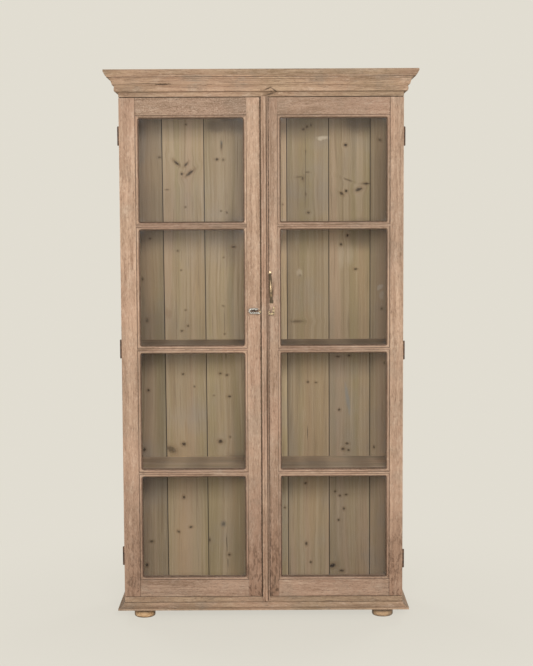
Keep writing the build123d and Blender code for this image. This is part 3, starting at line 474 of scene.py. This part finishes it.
def turned_wood(name, seed, brown):
    """Honey-coloured turned wood, paler on the belly, darkened by painted shade above under the base, at the
    floor and at the sides.
    """
    material, g, shader = new_material(name)
    place, turned = grain_place(g, "X", seed)
    axes = g.axes(place)
    figure = g.grain(turned, (160, 90, 11), 4.0, 0.6)
    blot = g.noise(place, 60.0, 4.0, 0.65)
    colour = g.mix(g.spread(figure, 0.36, 0.62), DEEP_HONEY, PALE_HONEY)
    height = g.math("ADD", axes[Z], g.math("MULTIPLY", g.math("SUBTRACT", blot, 0.5), 0.012))
    # Painted shade on the top of the foot, under the base moulding
    colour = g.mix(g.spread(height, 0.015, 0.028, 0.0, 0.95), colour, FOOT_TOP_SHADE)
    # Painted shade along the foot's lower edge at the floor
    colour = g.mix(g.spread(height, 0.009, 0.003, 0.0, 0.85), colour, FOOT_FLOOR_SHADE)
    across = g.distance(g.math("ABSOLUTE", axes[X]), FOOT_MIDDLE / MM)
    # Painted shade at the sides of the foot, where the round turns away
    colour = g.mix(g.spread(across, 0.031, 0.038, 0.0, 0.7), colour, FOOT_SIDE_SHADE)
    colour = g.tint(colour, g.spread(blot, 0.55, 0.72), 0.35, FOOT_BLOT)
    colour = g.mix(g.spread(blot, 0.30, 0.62, brown, 0.4 * brown), colour, FOOT_BROWN)
    g.put(shader.inputs["Base Color"], colour)
    shader.inputs["Roughness"].default_value = 0.55
    shader.inputs["Specular IOR Level"].default_value = 0.35
    g.put(shader.inputs["Normal"], g.bump(figure, 0.4, 0.0008))
    return material


def metal(name, bright, dull, roughness, grime, scale, dark_ends=()):
    """Aged metal: bright worn spots between patches of dull film, and fine specks.

    Aged metal: bright rubbed spots between patches of dull film, and fine specks.
    """
    material, g, shader = new_material(name)
    place = g.object_place()
    film = g.spread(g.noise(place, scale, 5.0, 0.65), 0.40, 0.66)
    fine = g.noise(place, scale * 9, 3.0, 0.6)
    for height, reach in dark_ends:
        near = g.distance(g.axes(place)[Z], height)
        film = g.math("MAXIMUM", film, g.spread(near, reach, reach * 0.6))
    colour = g.tint(bright, film, grime, dull)
    colour = g.tint(colour, g.spread(fine, 0.55, 0.75), 0.35, dull)
    g.put(shader.inputs["Base Color"], colour)
    g.put(shader.inputs["Roughness"], g.spread(film, 0.0, 1.0, roughness, min(0.9, roughness + 0.4)))
    g.put(shader.inputs["Metallic"], g.spread(film, 0.0, 1.0, 1.0, 0.50))
    g.put(shader.inputs["Normal"], g.bump(fine, 0.4, 0.0004))
    return material


def rust(name):
    """Black iron with patches and dust of brown rust."""
    material, g, shader = new_material(name)
    place = g.object_place()
    patch = g.spread(g.noise(place, 140.0, 5.0, 0.7), 0.40, 0.62)
    fine = g.noise(place, 1500.0, 3.0, 0.6)
    colour = g.mix(patch, IRON_BLACK, RUST_BROWN)
    colour = g.tint(colour, g.spread(fine, 0.5, 0.75), 0.5, RUST_DUST)
    g.put(shader.inputs["Base Color"], colour)
    g.put(shader.inputs["Roughness"], g.spread(patch, 0.0, 1.0, 0.55, 0.9))
    g.put(shader.inputs["Metallic"], g.spread(patch, 0.0, 1.0, 0.7, 0.1))
    g.put(shader.inputs["Normal"], g.bump(fine, 0.6, 0.0005))
    return material


def window_glass(name, span_x, spans_z):
    """Thin old glass: nearly clear, with a faint haze that thickens toward the corners of each pane.

    The spans are the sight edges of the panes, in millimetres.
    """
    material, g, shader = new_material(name)
    place = g.object_place()
    x, _, z = g.axes(place)

    def toward_edge(value, low, high):
        return g.math("DIVIDE", g.distance(value, (low + high) / 2 / MM), (high - low) / 2 / MM)

    side = toward_edge(x, *span_x)
    level = toward_edge(z, *spans_z[0])
    for span in spans_z[1:]:
        level = g.math("MINIMUM", level, toward_edge(z, *span))
    corner = g.math("MULTIPLY", g.spread(side, 0.86, 1.0), g.spread(level, 0.88, 1.0))
    smear = g.grain(place, (6, 6, 2.5), 5.0, 0.7)
    haze = g.math("ADD", g.spread(smear, 0.5, 0.85, 0.012, 0.04), g.math("MULTIPLY", corner, 0.02))
    g.put(shader.inputs["Alpha"], haze)
    g.put(shader.inputs["Base Color"], GLASS_HAZE)
    shader.inputs["Roughness"].default_value = 0.12
    shader.inputs["IOR"].default_value = 1.45
    material.surface_render_method = "BLENDED"
    return material


# Each oak piece: the way its grain runs and its brightness
OAK_PIECES = {
    "left_hinge_stile": ("Z", 1.06), "left_meeting_stile": ("Z", 0.88), "left_top_rail": ("X", 0.82),
    "left_bottom_rail": ("X", 0.96), "left_bar_1": ("X", 0.98), "left_bar_2": ("X", 0.94),
    "left_bar_3": ("X", 0.88), "right_meeting_stile": ("Z", 0.95), "right_hinge_stile": ("Z", 1.04),
    "right_top_rail": ("X", 0.84), "right_bottom_rail": ("X", 0.98), "right_bar_1": ("X", 0.98),
    "right_bar_2": ("X", 0.94), "right_bar_3": ("X", 0.92), "closing_strip": ("Z", 1.06),
    "side_left": ("Z", 0.95), "side_right": ("Z", 0.95), "frieze_rail": ("X", 0.9), "top_slab": ("X", 0.95),
    "floor_board": ("X", 0.92), "cornice_front": ("X", 0.95), "cornice_left": ("Y", 0.92),
    "cornice_right": ("Y", 0.92), "base_front": ("X", 1.06), "base_left": ("Y", 1.1),
    "base_right": ("Y", 1.1),
    "left_glazing_beads": ("Z", 0.8), "right_glazing_beads": ("Z", 0.8),
}
BROWNER_PIECES = ("cornice", "frieze", "top", "base", "floor")

# Dirt and painted shade by depth: in the moulding round the panes and in the groove of the closing strip
PANE_HOLLOW = (DOOR_FRONT + 2.6, DOOR_FRONT + 8.0, 0.62)
STRIP_HOLLOW = (STRIP_FRONT + 4.9, DOOR_FRONT - 0.5, 0.85)

# Rubbing and painted shade low down, dirt lines in the joints, painted shade along creases, steps and beside
# parts, painted shadows of the pull and the hook, and knots of single oak pieces
OAK_WEAR_AND_SHADE = {
    "left_top_rail": {
        "curl": 0.72, "calm": 0.8, "seams": [(X, LEFT_JOINTS[0], 1.5, 0.55), (X, LEFT_JOINTS[1], 1.2, 0.35)],
    },
    "right_top_rail": {
        "curl": 0.36, "calm": 1.0, "seams": [(X, RIGHT_JOINTS[0], 1.2, 0.4), (X, RIGHT_JOINTS[1], 1.7, 0.7)],
    },
    "left_bottom_rail": {
        "curl": 0.20, "seams": [(X, LEFT_JOINTS[0], 1.6, 0.7), (X, LEFT_JOINTS[1], 1.2, 0.5)],
    },
    "right_bottom_rail": {
        "curl": 0.14, "seams": [(X, RIGHT_JOINTS[0], 1.2, 0.5), (X, RIGHT_JOINTS[1], 1.7, 0.85)],
    },
    # On the hinge stiles the line at the edge of the moulding is painted shade beside its step
    "left_hinge_stile": {"calm": 0.35, "wear_and_low_shade": 0.8, "seams": [(X, LEFT_JOINTS[0], 1.3, 0.35)]},
    "right_hinge_stile": {"calm": 0.35, "wear_and_low_shade": 0.9, "seams": [(X, RIGHT_JOINTS[1], 1.5, 0.45)]},
    "left_meeting_stile": {
        "calm": 0.35, "wear_and_low_shade": 1.25, "levels": ((300, 0.80), (1250, 1.15), (1900, 0.92)),
        "seams": [(X, DOOR_EDGE - 0.4, 2.0, 0.9, DOOR_FRONT + 1.7)],
        # Painted shadow of the drop hook: dark in and round its slot, with a softer rim
        "marks": [(-31, 1196, 17, 3.4, 0, 1.0), (-31, 1193, 15, 4.0, 0, 1.0), (-9, 1191, 7, 6, 0, 0.5),
                  (-36, 1196, 20, 13, 0, 0.3)],
    },
    "right_meeting_stile": {
        # The line beside the closing strip is the strip's painted shadow; the two long thin marks beside the
        # pull are the painted shadow of its bow; the soft mark at the keeper darkens the wood round it; the
        # low ones are marks in the wood
        "calm": 0.35, "wear_and_low_shade": 1.0, "seams": [(X, STRIP_RIGHT + 1.3, 2.4, 0.8)],
        "marks": [(30, 1278, 3.4, 40, 0, 0.75), (44, 1280, 2.4, 36, -4, 0.45), (38, 1193, 12, 10, 0, 0.3),
                  (31, 98, 14, 6, 30, 0.5), (52, 112, 9, 6, 0, 0.5), (44, 150, 5, 18, 0, 0.5)],
    },
    "closing_strip": {
        # Dirt and painted shade in the groove of the strip
        "wear_and_low_shade": 0.5, "seams": [(X, STRIP_LEFT, 1.6, 0.7, STRIP_FRONT + 4.5)], "hollows": [STRIP_HOLLOW],
    },
    "cornice_front": {
        "weather": 1.0,
        # The lines along the cornice are painted shade in the creases and under the mouldings of its profile
        "seams": [(Z, 2073, 0.8, 0.5), (Z, 2060, 0.7, 0.4), (Z, 2039, 0.7, 0.35), (Z, 2019, 0.9, 0.4),
                  (Z, 2009, 1.3, 0.5)],
        "marks": [(-366, 2047, 34, 2.8, 1, 0.95), (-455, 2049, 110, 1.4, 1, 0.6),
                  (-380, 2057, 55, 1.5, 0, 0.4), (-120, 2054, 45, 1.6, -1, 0.5),
                  (150, 2051, 60, 1.5, 1, 0.45), (330, 2057, 40, 1.4, 0, 0.4),
                  (25, 2030, 17, 2.6, 24, 0.9), (50, 2024, 16, 2.4, -36, 0.9),
                  (40, 2016, 9, 2.6, -60, 0.7), (-250, 2034, 50, 1.3, -2, 0.35),
                  (440, 2050, 30, 1.5, 2, 0.5)],
    },
    "frieze_rail": {"marks": [(35, 2012, 22, 3.0, 18, 0.8)]},
    "top_slab": {"weather": 0.6},
    "base_front": {"weather": 1.0},
    "floor_board": {"weather": 1.0},
}

# The dark line along the sight edges, dirt and painted shade: half width and strength
SIGHT_LINE = (1.7, 0.55)


def sight_lines():
    """The sight edges beside each stile, rail and bar, as (axis, place)."""
    lines = {
        "left_hinge_stile": [(X, LEFT_SIGHT[0])], "left_meeting_stile": [(X, LEFT_SIGHT[1])],
        "right_meeting_stile": [(X, RIGHT_SIGHT[0])], "right_hinge_stile": [(X, RIGHT_SIGHT[1])],
    }
    for side in ("left", "right"):
        panes = sight_heights(side)
        lines[side + "_bottom_rail"] = [(Z, panes[0][0])]
        lines[side + "_top_rail"] = [(Z, panes[-1][1])]
        for number, below, above in zip(BAR_NUMBERS, panes, panes[1:]):
            lines["%s_bar_%d" % (side, number)] = [(Z, below[1]), (Z, above[0])]
    return lines


# Knots, stain marks, patches of painted shade and cracks of the back boards, by board from the left; knots
# are drawn a little larger
KNOT_SIZE = 1.06
KNOTS = {
    1: [(-449, 1466, 5, 5, 0, .5), (-465, 1137, 6, 8, 0, .5), (-481, 1304, 4, 7, 0, .6),
        (-463, 853, 5, 5, 0, .8), (-482, 611, 6, 7, 0, .85), (-458, 232, 8, 5, 0, .7),
        (-477, 134, 6, 7, 0, .85), (-408, 1789, 7, 4, 0, .5)],
    2: [(-340, 1767, 15, 5, -42, .9), (-303, 1760, 11, 4.5, 48, .8), (-319, 1723, 5, 4.5, 0, .9),
        (-287, 1727, 19, 5.5, 38, .9), (-379, 1661, 7, 3, 0, .5), (-306, 1591, 4, 3.5, 0, .6),
        (-301, 1919, 4, 3.5, 0, .7), (-338, 1416, 5, 4, 0, .5), (-326, 1339, 4, 3, 0, .6),
        (-309, 1178, 4, 3, 0, .6), (-300, 1114, 5, 4, 0, .6), (-325, 1094, 6, 4, 0, .6),
        (-322, 919, 5, 4, 0, .7), (-321, 633, 8, 7, 0, .9), (-372, 611, 22, 13, -25, .62),
        (-276, 868, 4, 4, 0, .6), (-323, 415, 5, 6.5, 0, .85), (-296, 291, 7, 4.5, 0, .85),
        (-346, 272, 7, 5, -30, .7)],
    3: [(-160, 1833, 16, 4, 90, .6), (-178, 1780, 7, 5, 0, .8), (-154, 1778, 5, 5, 0, .5),
        (-164, 1575, 4, 3, 0, .5), (-140, 1569, 4, 4, 0, .6), (-115, 1431, 8, 3.5, 0, .8),
        (-155, 1389, 4, 3, 0, .5), (-157, 1194, 5, 3, 0, .5), (-153, 1081, 4, 3, 0, .6),
        (-171, 920, 6, 4, 0, .7), (-145, 914, 6, 4, 0, .7), (-135, 827, 7, 4, 0, .8),
        (-198, 831, 4, 3, 0, .5), (-173, 643, 9, 7, 0, .9), (-134, 661, 4, 4, 0, .6),
        (-221, 237, 5, 8, 0, .7), (-163, 303, 7, 9, 0, .5), (-140, 176, 6, 5, 0, .8)],
    4: [(88, 370, 5, 5, 0, .6), (84, 1600, 4, 4, 0, .4), (40, 800, 6, 5, 0, .7), (-20, 1300, 7, 5, 20, .7)],
    5: [(167, 1897, 6, 5, 0, .6), (181, 1907, 5, 6, 0, .6), (197, 1914, 4, 6, 0, .5),
        (151, 1709, 15, 3, 4, .4), (183, 1728, 9, 3, 0, .5), (163, 1703, 5, 8, 0, .6),
        (186, 1567, 6, 5, 0, .7), (152, 1315, 5, 5, 0, .4), (139, 1130, 26, 5, 0, .45),
        (182, 884, 5, 4, 0, .7), (215, 882, 5, 4, 0, .6), (172, 470, 5, 5, 0, .8),
        (175, 220, 5, 8, 0, .8), (193, 143, 5, 5, 0, .7), (176, 1810, 3, 4, 0, .5),
        (176, 1640, 3, 5, 0, .5)],
    6: [(335, 1835, 6, 5.5, 0, 1), (345, 1696, 18, 3, -20, .5), (387, 1658, 14, 6, 18, .85),
        (337, 1652, 5, 5, 0, 1), (319, 1642, 9, 5, -35, .85), (417, 1681, 14, 4, 2, .85),
        (342, 1475, 5, 6, 0, .9), (317, 1439, 5, 6, 0, .8), (375, 1340, 7, 4, 0, .8),
        (304, 987, 8, 4, 0, .6), (349, 991, 6, 4, 0, .8), (309, 771, 5, 5, 0, .8),
        (341, 632, 7, 4, 0, .8), (324, 610, 7, 6, 0, .8), (347, 605, 5, 5, 0, .8),
        (292, 435, 4, 4, 0, .8), (312, 418, 5, 4, 0, .8), (337, 422, 6, 4, 0, .8),
        (328, 364, 5, 6, 0, .8), (306, 317, 5, 5, 0, .8), (281, 128, 13, 9, 20, 1),
        (319, 107, 9, 5, 0, .8)],
    7: [(472, 1854, 8, 5, -30, .5), (450, 617, 4, 6, 0, .7), (480, 1180, 5, 5, 0, .5),
        (492, 960, 4, 6, 0, .5)],
}
STAINS_AND_SHADE = {
    # Board 1: painted shade on the outer board, beside the left side
    1: [(LIGHT_PAINTED_SHADE, 0.35, True, [(-440, 1560, 60, 30, 90, .9), (-440, 1080, 60, 30, 90, .9)])],
    2: [(BROWN_STAIN, 0.5, False, [(-380, 1163, 16, 22, 0, 1), (-312, 703, 4, 30, 0, .7)])],
    # Board 3: the two darkest soft patches are painted shadow of the frame at the top right of the left panes
    3: [(DEEP_PAINTED_SHADE, 0.72, True, [(-177, 1912, 24, 15, 0, .8), (-95, 1930, 45, 26, 0, .9)]),
        (PAINTED_SHADE, 0.62, True, [(-120, 1470, 60, 22, 90, .7), (-95, 540, 50, 30, 0, .9)]),
        (BLUE_STAIN, 0.6, False, [(-160, 1846, 10, 5, 90, .9), (-163, 303, 12, 14, 0, .7)])],
    5: [(SCUFF, 0.5, False, [(150, 1325, 14, 18, 0, .9), (140, 1480, 10, 60, 0, .4)]),
        (PALE_SCUFF, 0.85, False, [(244, 1864, 24, 8, 3, 1), (232, 1858, 10, 6, -20, 1)]),
        # A darker soft patch near the top of the board
        (DARK_TOP_PATCH, 0.6, True, [(160, 1900, 30, 26, 0, .8)])],
    6: [(SCUFF, 0.5, False, [(318, 1395, 14, 60, 0, .6), (352, 1400, 18, 50, 0, .5),
                             (262, 1863, 12, 9, -4, 1)]),
        # Board 6: the soft dark patches are painted shadow of the frame at the top right of the right panes
        (PAINTED_SHADE, 0.66, True, [(395, 1930, 42, 26, 0, .9), (400, 1480, 36, 30, 0, .7)]),
        (GREY_STAIN, 0.6, False, [(343, 815, 8, 70, 9, .8)])],
    7: [(GREY_SCUFF, 0.6, False, [(473, 1267, 16, 10, 40, .8), (480, 1235, 10, 20, 0, .5)])],
}
CRACKS = {
    3: [(-148, 993, 1.6, 16, 0, .9), (-150, 225, 1.6, 34, 3, .9), (-146, 140, 1.6, 22, 0, .9),
        (-153, 1133, 1.5, 60, 0, .5)],
    5: [(175, 1730, 1.3, 180, 0, .7), (180, 678, 1.6, 32, 0, .8)],
}

# Brightness of each back board from the left: the outer boards are darkened as painted shade beside the
# sides, and the fourth is brightened as painted light
BOARD_LEVELS = (0.67, 0.90, 0.88, 1.32, 0.84, 0.79, 0.75)

# Dust and grime on the shelves: bands across the depth, as (x, strength), the same at every height
SHELF_DUST = ((-330, 1.0), (-215, 0.5), (-120, 0.6), (150, 0.5), (300, 1.0), (430, 0.4))
SHELF_GRIME = ((-420, 0.9), (-262, 0.7), (-80, 0.8), (96, 0.8), (215, 0.7), (380, 0.8))

# Brightness of the shelves, raised or lowered shelf by shelf as painted light and shade; share of brown on
# each foot; and the dark ends of the pull (height, reach)
SHELF_LEVELS = (("shelf_lower", 1.2), ("shelf_middle", 0.85), ("shelf_upper", 0.95), ("ceiling_board", 1.0))
FOOT_BROWNS = (("front_left", 0.05), ("front_right", 0.75), ("back_left", 0.3), ("back_right", 0.3))
PULL_ENDS = [(1.324, 0.017), (1.236, 0.017)]


def dress(node, material):
    mesh = nodes[node].data
    mesh.materials.clear()
    mesh.materials.append(material)


def dress_oak():
    """Oak on the doors, the carcass front, the sides, the cornice and the base."""
    lines = sight_lines()
    for number, (name, (along, level)) in enumerate(OAK_PIECES.items()):
        wear_and_shade = dict(OAK_WEAR_AND_SHADE.get(name, {}))
        if name in lines:
            wear_and_shade["hollows"] = [PANE_HOLLOW]
            # Dirt and painted shade along the sight edges and in the moulding round the panes
            wear_and_shade["seams"] = wear_and_shade.get("seams", []) + [(*line, *SIGHT_LINE) for line in lines[name]]
        if name.startswith(BROWNER_PIECES):
            wear_and_shade["pale"], wear_and_shade["deep"] = PALE_CORNICE, DEEP_CORNICE
        dress(name, oak("oak_" + name, along, number + 1, level=level, **wear_and_shade))


def across_bands(bands, half_width):
    """Marks so long in height that they band a shelf from front to back at each x."""
    return [(x, 1000, half_width, 9000, 0, strength) for x, strength in bands]


def dress_pine():
    """Softwood on the back boards, the shelves and the hidden blocks."""
    for number, level in enumerate(BOARD_LEVELS, 1):
        knots = [(x, z, KNOT_SIZE * long, KNOT_SIZE * short, turn, dark)
                 for x, z, long, short, turn, dark in KNOTS[number]]
        dress("back_board_%d" % number,
              pine("pine_board_%d" % number, 40 + number, knots, STAINS_AND_SHADE.get(number, ()),
                   CRACKS.get(number, ()), level=level, joint_from=BOARD_FRONT / MM))
    dust = (DUST_COLOUR, 0.34, True, across_bands(SHELF_DUST, 46))
    grime = (GRIME_COLOUR, 0.40, True, across_bands(SHELF_GRIME, 24))
    for number, (name, level) in enumerate(SHELF_LEVELS):
        dress(name, pine("pine_" + name, 60 + number, along="X", level=level, dirt=0.5, stains_and_shade=[dust, grime],
                         pale=PALE_SHELF, deep=DEEP_SHELF))
    dress("base_back", pine("pine_base_back", 70, along="X", level=0.9))
    dress("foot_blocks", pine("pine_foot_blocks", 71, along="X", level=0.9))


def dress_fittings():
    """Feet, glass, brass, steel and rusty iron."""
    for number, (name, brown) in enumerate(FOOT_BROWNS):
        dress("foot_" + name, turned_wood("turned_foot_" + name, 80 + number, brown))
    dress("left_panes", window_glass("glass_left", LEFT_SIGHT, sight_heights("left")))
    dress("right_panes", window_glass("glass_right", RIGHT_SIGHT, sight_heights("right")))
    dress("bow_pull", metal("aged_brass", BRASS_BRIGHT, BRASS_DULL, 0.36, 0.85, 150.0, PULL_ENDS))
    dark_brass = metal("dark_brass", DARK_BRASS_BRIGHT, DARK_BRASS_DULL, 0.34, 0.9, 260.0)
    for name in ("hook_keeper", "fitting_screws", "hook_post"):
        dress(name, dark_brass)
    dress("drop_hook", metal("worn_hook_metal", STEEL_BRIGHT, STEEL_DULL, 0.24, 0.95, 420.0))
    rusty_iron = rust("rusty_iron")
    for name in ("back_nails", "hinge_frame_leaves", "hinge_pins", "hinge_frame_screws", "left_hinge_leaves",
                 "right_hinge_leaves", "left_hinge_screws", "right_hinge_screws"):
        dress(name, rusty_iron)


# Corners of the floor, and where its own glow takes over from the light that falls on it
FLOOR_CORNERS = ((-30, -12), (30, -12), (30, 60), (-30, 60))
GLOW_FROM, GLOW_FULL = 0.25, 1.5
GLOW_NEAR = 0.80


def backdrop():
    """Pale floor that takes the cabinet's shadow and fades, away from it, into the plain pale background."""
    mesh = bpy.data.meshes.new("backdrop")
    build = bmesh.new()
    build.faces.new([build.verts.new((x, y, 0.0)) for x, y in FLOOR_CORNERS])
    build.to_mesh(mesh)
    build.free()
    thing = bpy.data.objects.new("backdrop", mesh)
    scene.collection.objects.link(thing)
    material, g, shader = new_material("pale_floor")
    g.put(shader.inputs["Base Color"], LINEN)
    shader.inputs["Roughness"].default_value = 0.95
    shader.inputs["Specular IOR Level"].default_value = 0.1
    away = g.add("ShaderNodeVectorMath", {"operation": "LENGTH"})
    g.put(away.inputs[0], g.stretch(g.object_place(), (0.8, 1.0, 1.0)))
    fade = g.spread(away.outputs["Value"], GLOW_FROM, GLOW_FULL, GLOW_NEAR, 1.0)
    path = g.add("ShaderNodeLightPath").outputs
    seen = g.math("MAXIMUM", path["Is Camera Ray"],
                  g.math("MAXIMUM", path["Is Glossy Ray"], path["Is Transmission Ray"]))
    glow = g.add("ShaderNodeEmission", Color=LINEN, Strength=1.0)
    blend = g.add("ShaderNodeMixShader")
    g.put(blend.inputs[0], g.math("MULTIPLY", seen, fade))
    g.put(blend.inputs[1], shader.outputs[0])
    g.put(blend.inputs[2], glow.outputs[0])
    output = next(node for node in g.tree.nodes if node.bl_idname == "ShaderNodeOutputMaterial")
    g.put(output.inputs[0], blend.outputs[0])
    mesh.materials.append(material)


def sky():
    """Soft light from all round, seen as the plain background colour."""
    world = bpy.data.worlds.new("studio")
    scene.world = world
    world.use_nodes = True
    tree = world.node_tree
    tree.nodes.clear()
    g = Graph(tree)
    path = g.add("ShaderNodeLightPath").outputs
    seen = g.math("MAXIMUM", path["Is Camera Ray"], path["Is Transmission Ray"])
    light = g.add("ShaderNodeBackground", Color=(1.0, 0.985, 0.96), Strength=0.30)
    shown = g.add("ShaderNodeBackground", Color=LINEN, Strength=1.0)
    blend = g.add("ShaderNodeMixShader")
    g.put(blend.inputs[0], seen)
    g.put(blend.inputs[1], light.outputs[0])
    g.put(blend.inputs[2], shown.outputs[0])
    g.put(g.add("ShaderNodeOutputWorld").inputs[0], blend.outputs[0])


# Lamps: name, place, target, width, height, power, colour
LAMPS = (
    ("key", (0.70, -4.9, 2.65), (0.0, 0.0, 1.15), 1.2, 0.9, 118.0, (1.0, 0.99, 0.97)),
    ("back_left", (-3.0, 4.2, 2.6), (0.0, 0.1, 1.05), 1.8, 1.8, 90.0, WHITE),
    ("back_right", (3.0, 4.2, 2.6), (0.0, 0.1, 1.05), 1.8, 1.8, 90.0, WHITE),
    ("fill", (-0.35, -5.4, 1.85), (0.0, 0.0, 1.0), 1.2, 1.2, 138.0, WHITE),
)


def soft_lamp(name, place, target, width, height, power, colour):
    lamp = bpy.data.lights.new(name, "AREA")
    lamp.shape = "RECTANGLE"
    lamp.size = width
    lamp.size_y = height
    lamp.energy = power
    lamp.color = colour
    thing = bpy.data.objects.new(name, lamp)
    scene.collection.objects.link(thing)
    thing.location = place
    thing.rotation_euler = (Vector(target) - Vector(place)).to_track_quat("-Z", "Y").to_euler()


# Camera: sizes in pixels of a picture 666 high; the horizon lies above the middle of the picture
CAMERA_PLACE = (0.016, -5.4525, 1.558)
FOCAL_PIXELS = 1400.0
PICTURE_PIXELS = 666.0
HORIZON_PIXELS = 118.0
ROLL_DEGREES = -0.274
SENSOR = 36.0


def camera():
    pitch = math.atan(HORIZON_PIXELS / FOCAL_PIXELS)
    roll = math.radians(ROLL_DEGREES)
    forward = Vector((0.0, math.cos(pitch), -math.sin(pitch)))
    right = Vector((1.0, 0.0, 0.0))
    up = right.cross(forward)
    right, up = right * math.cos(roll) + up * math.sin(roll), up * math.cos(roll) - right * math.sin(roll)
    data = bpy.data.cameras.new("camera")
    data.sensor_width = SENSOR
    data.lens = FOCAL_PIXELS / PICTURE_PIXELS * SENSOR
    data.clip_end = 60.0
    thing = bpy.data.objects.new("camera", data)
    scene.collection.objects.link(thing)
    turn = Matrix((right, up, -forward)).transposed().to_4x4()
    thing.matrix_world = Matrix.Translation(CAMERA_PLACE) @ turn
    scene.camera = thing


dress_oak()
dress_pine()
dress_fittings()
backdrop()
sky()
for lamp_values in LAMPS:
    soft_lamp(*lamp_values)
camera()
scene.view_settings.view_transform = "Standard"
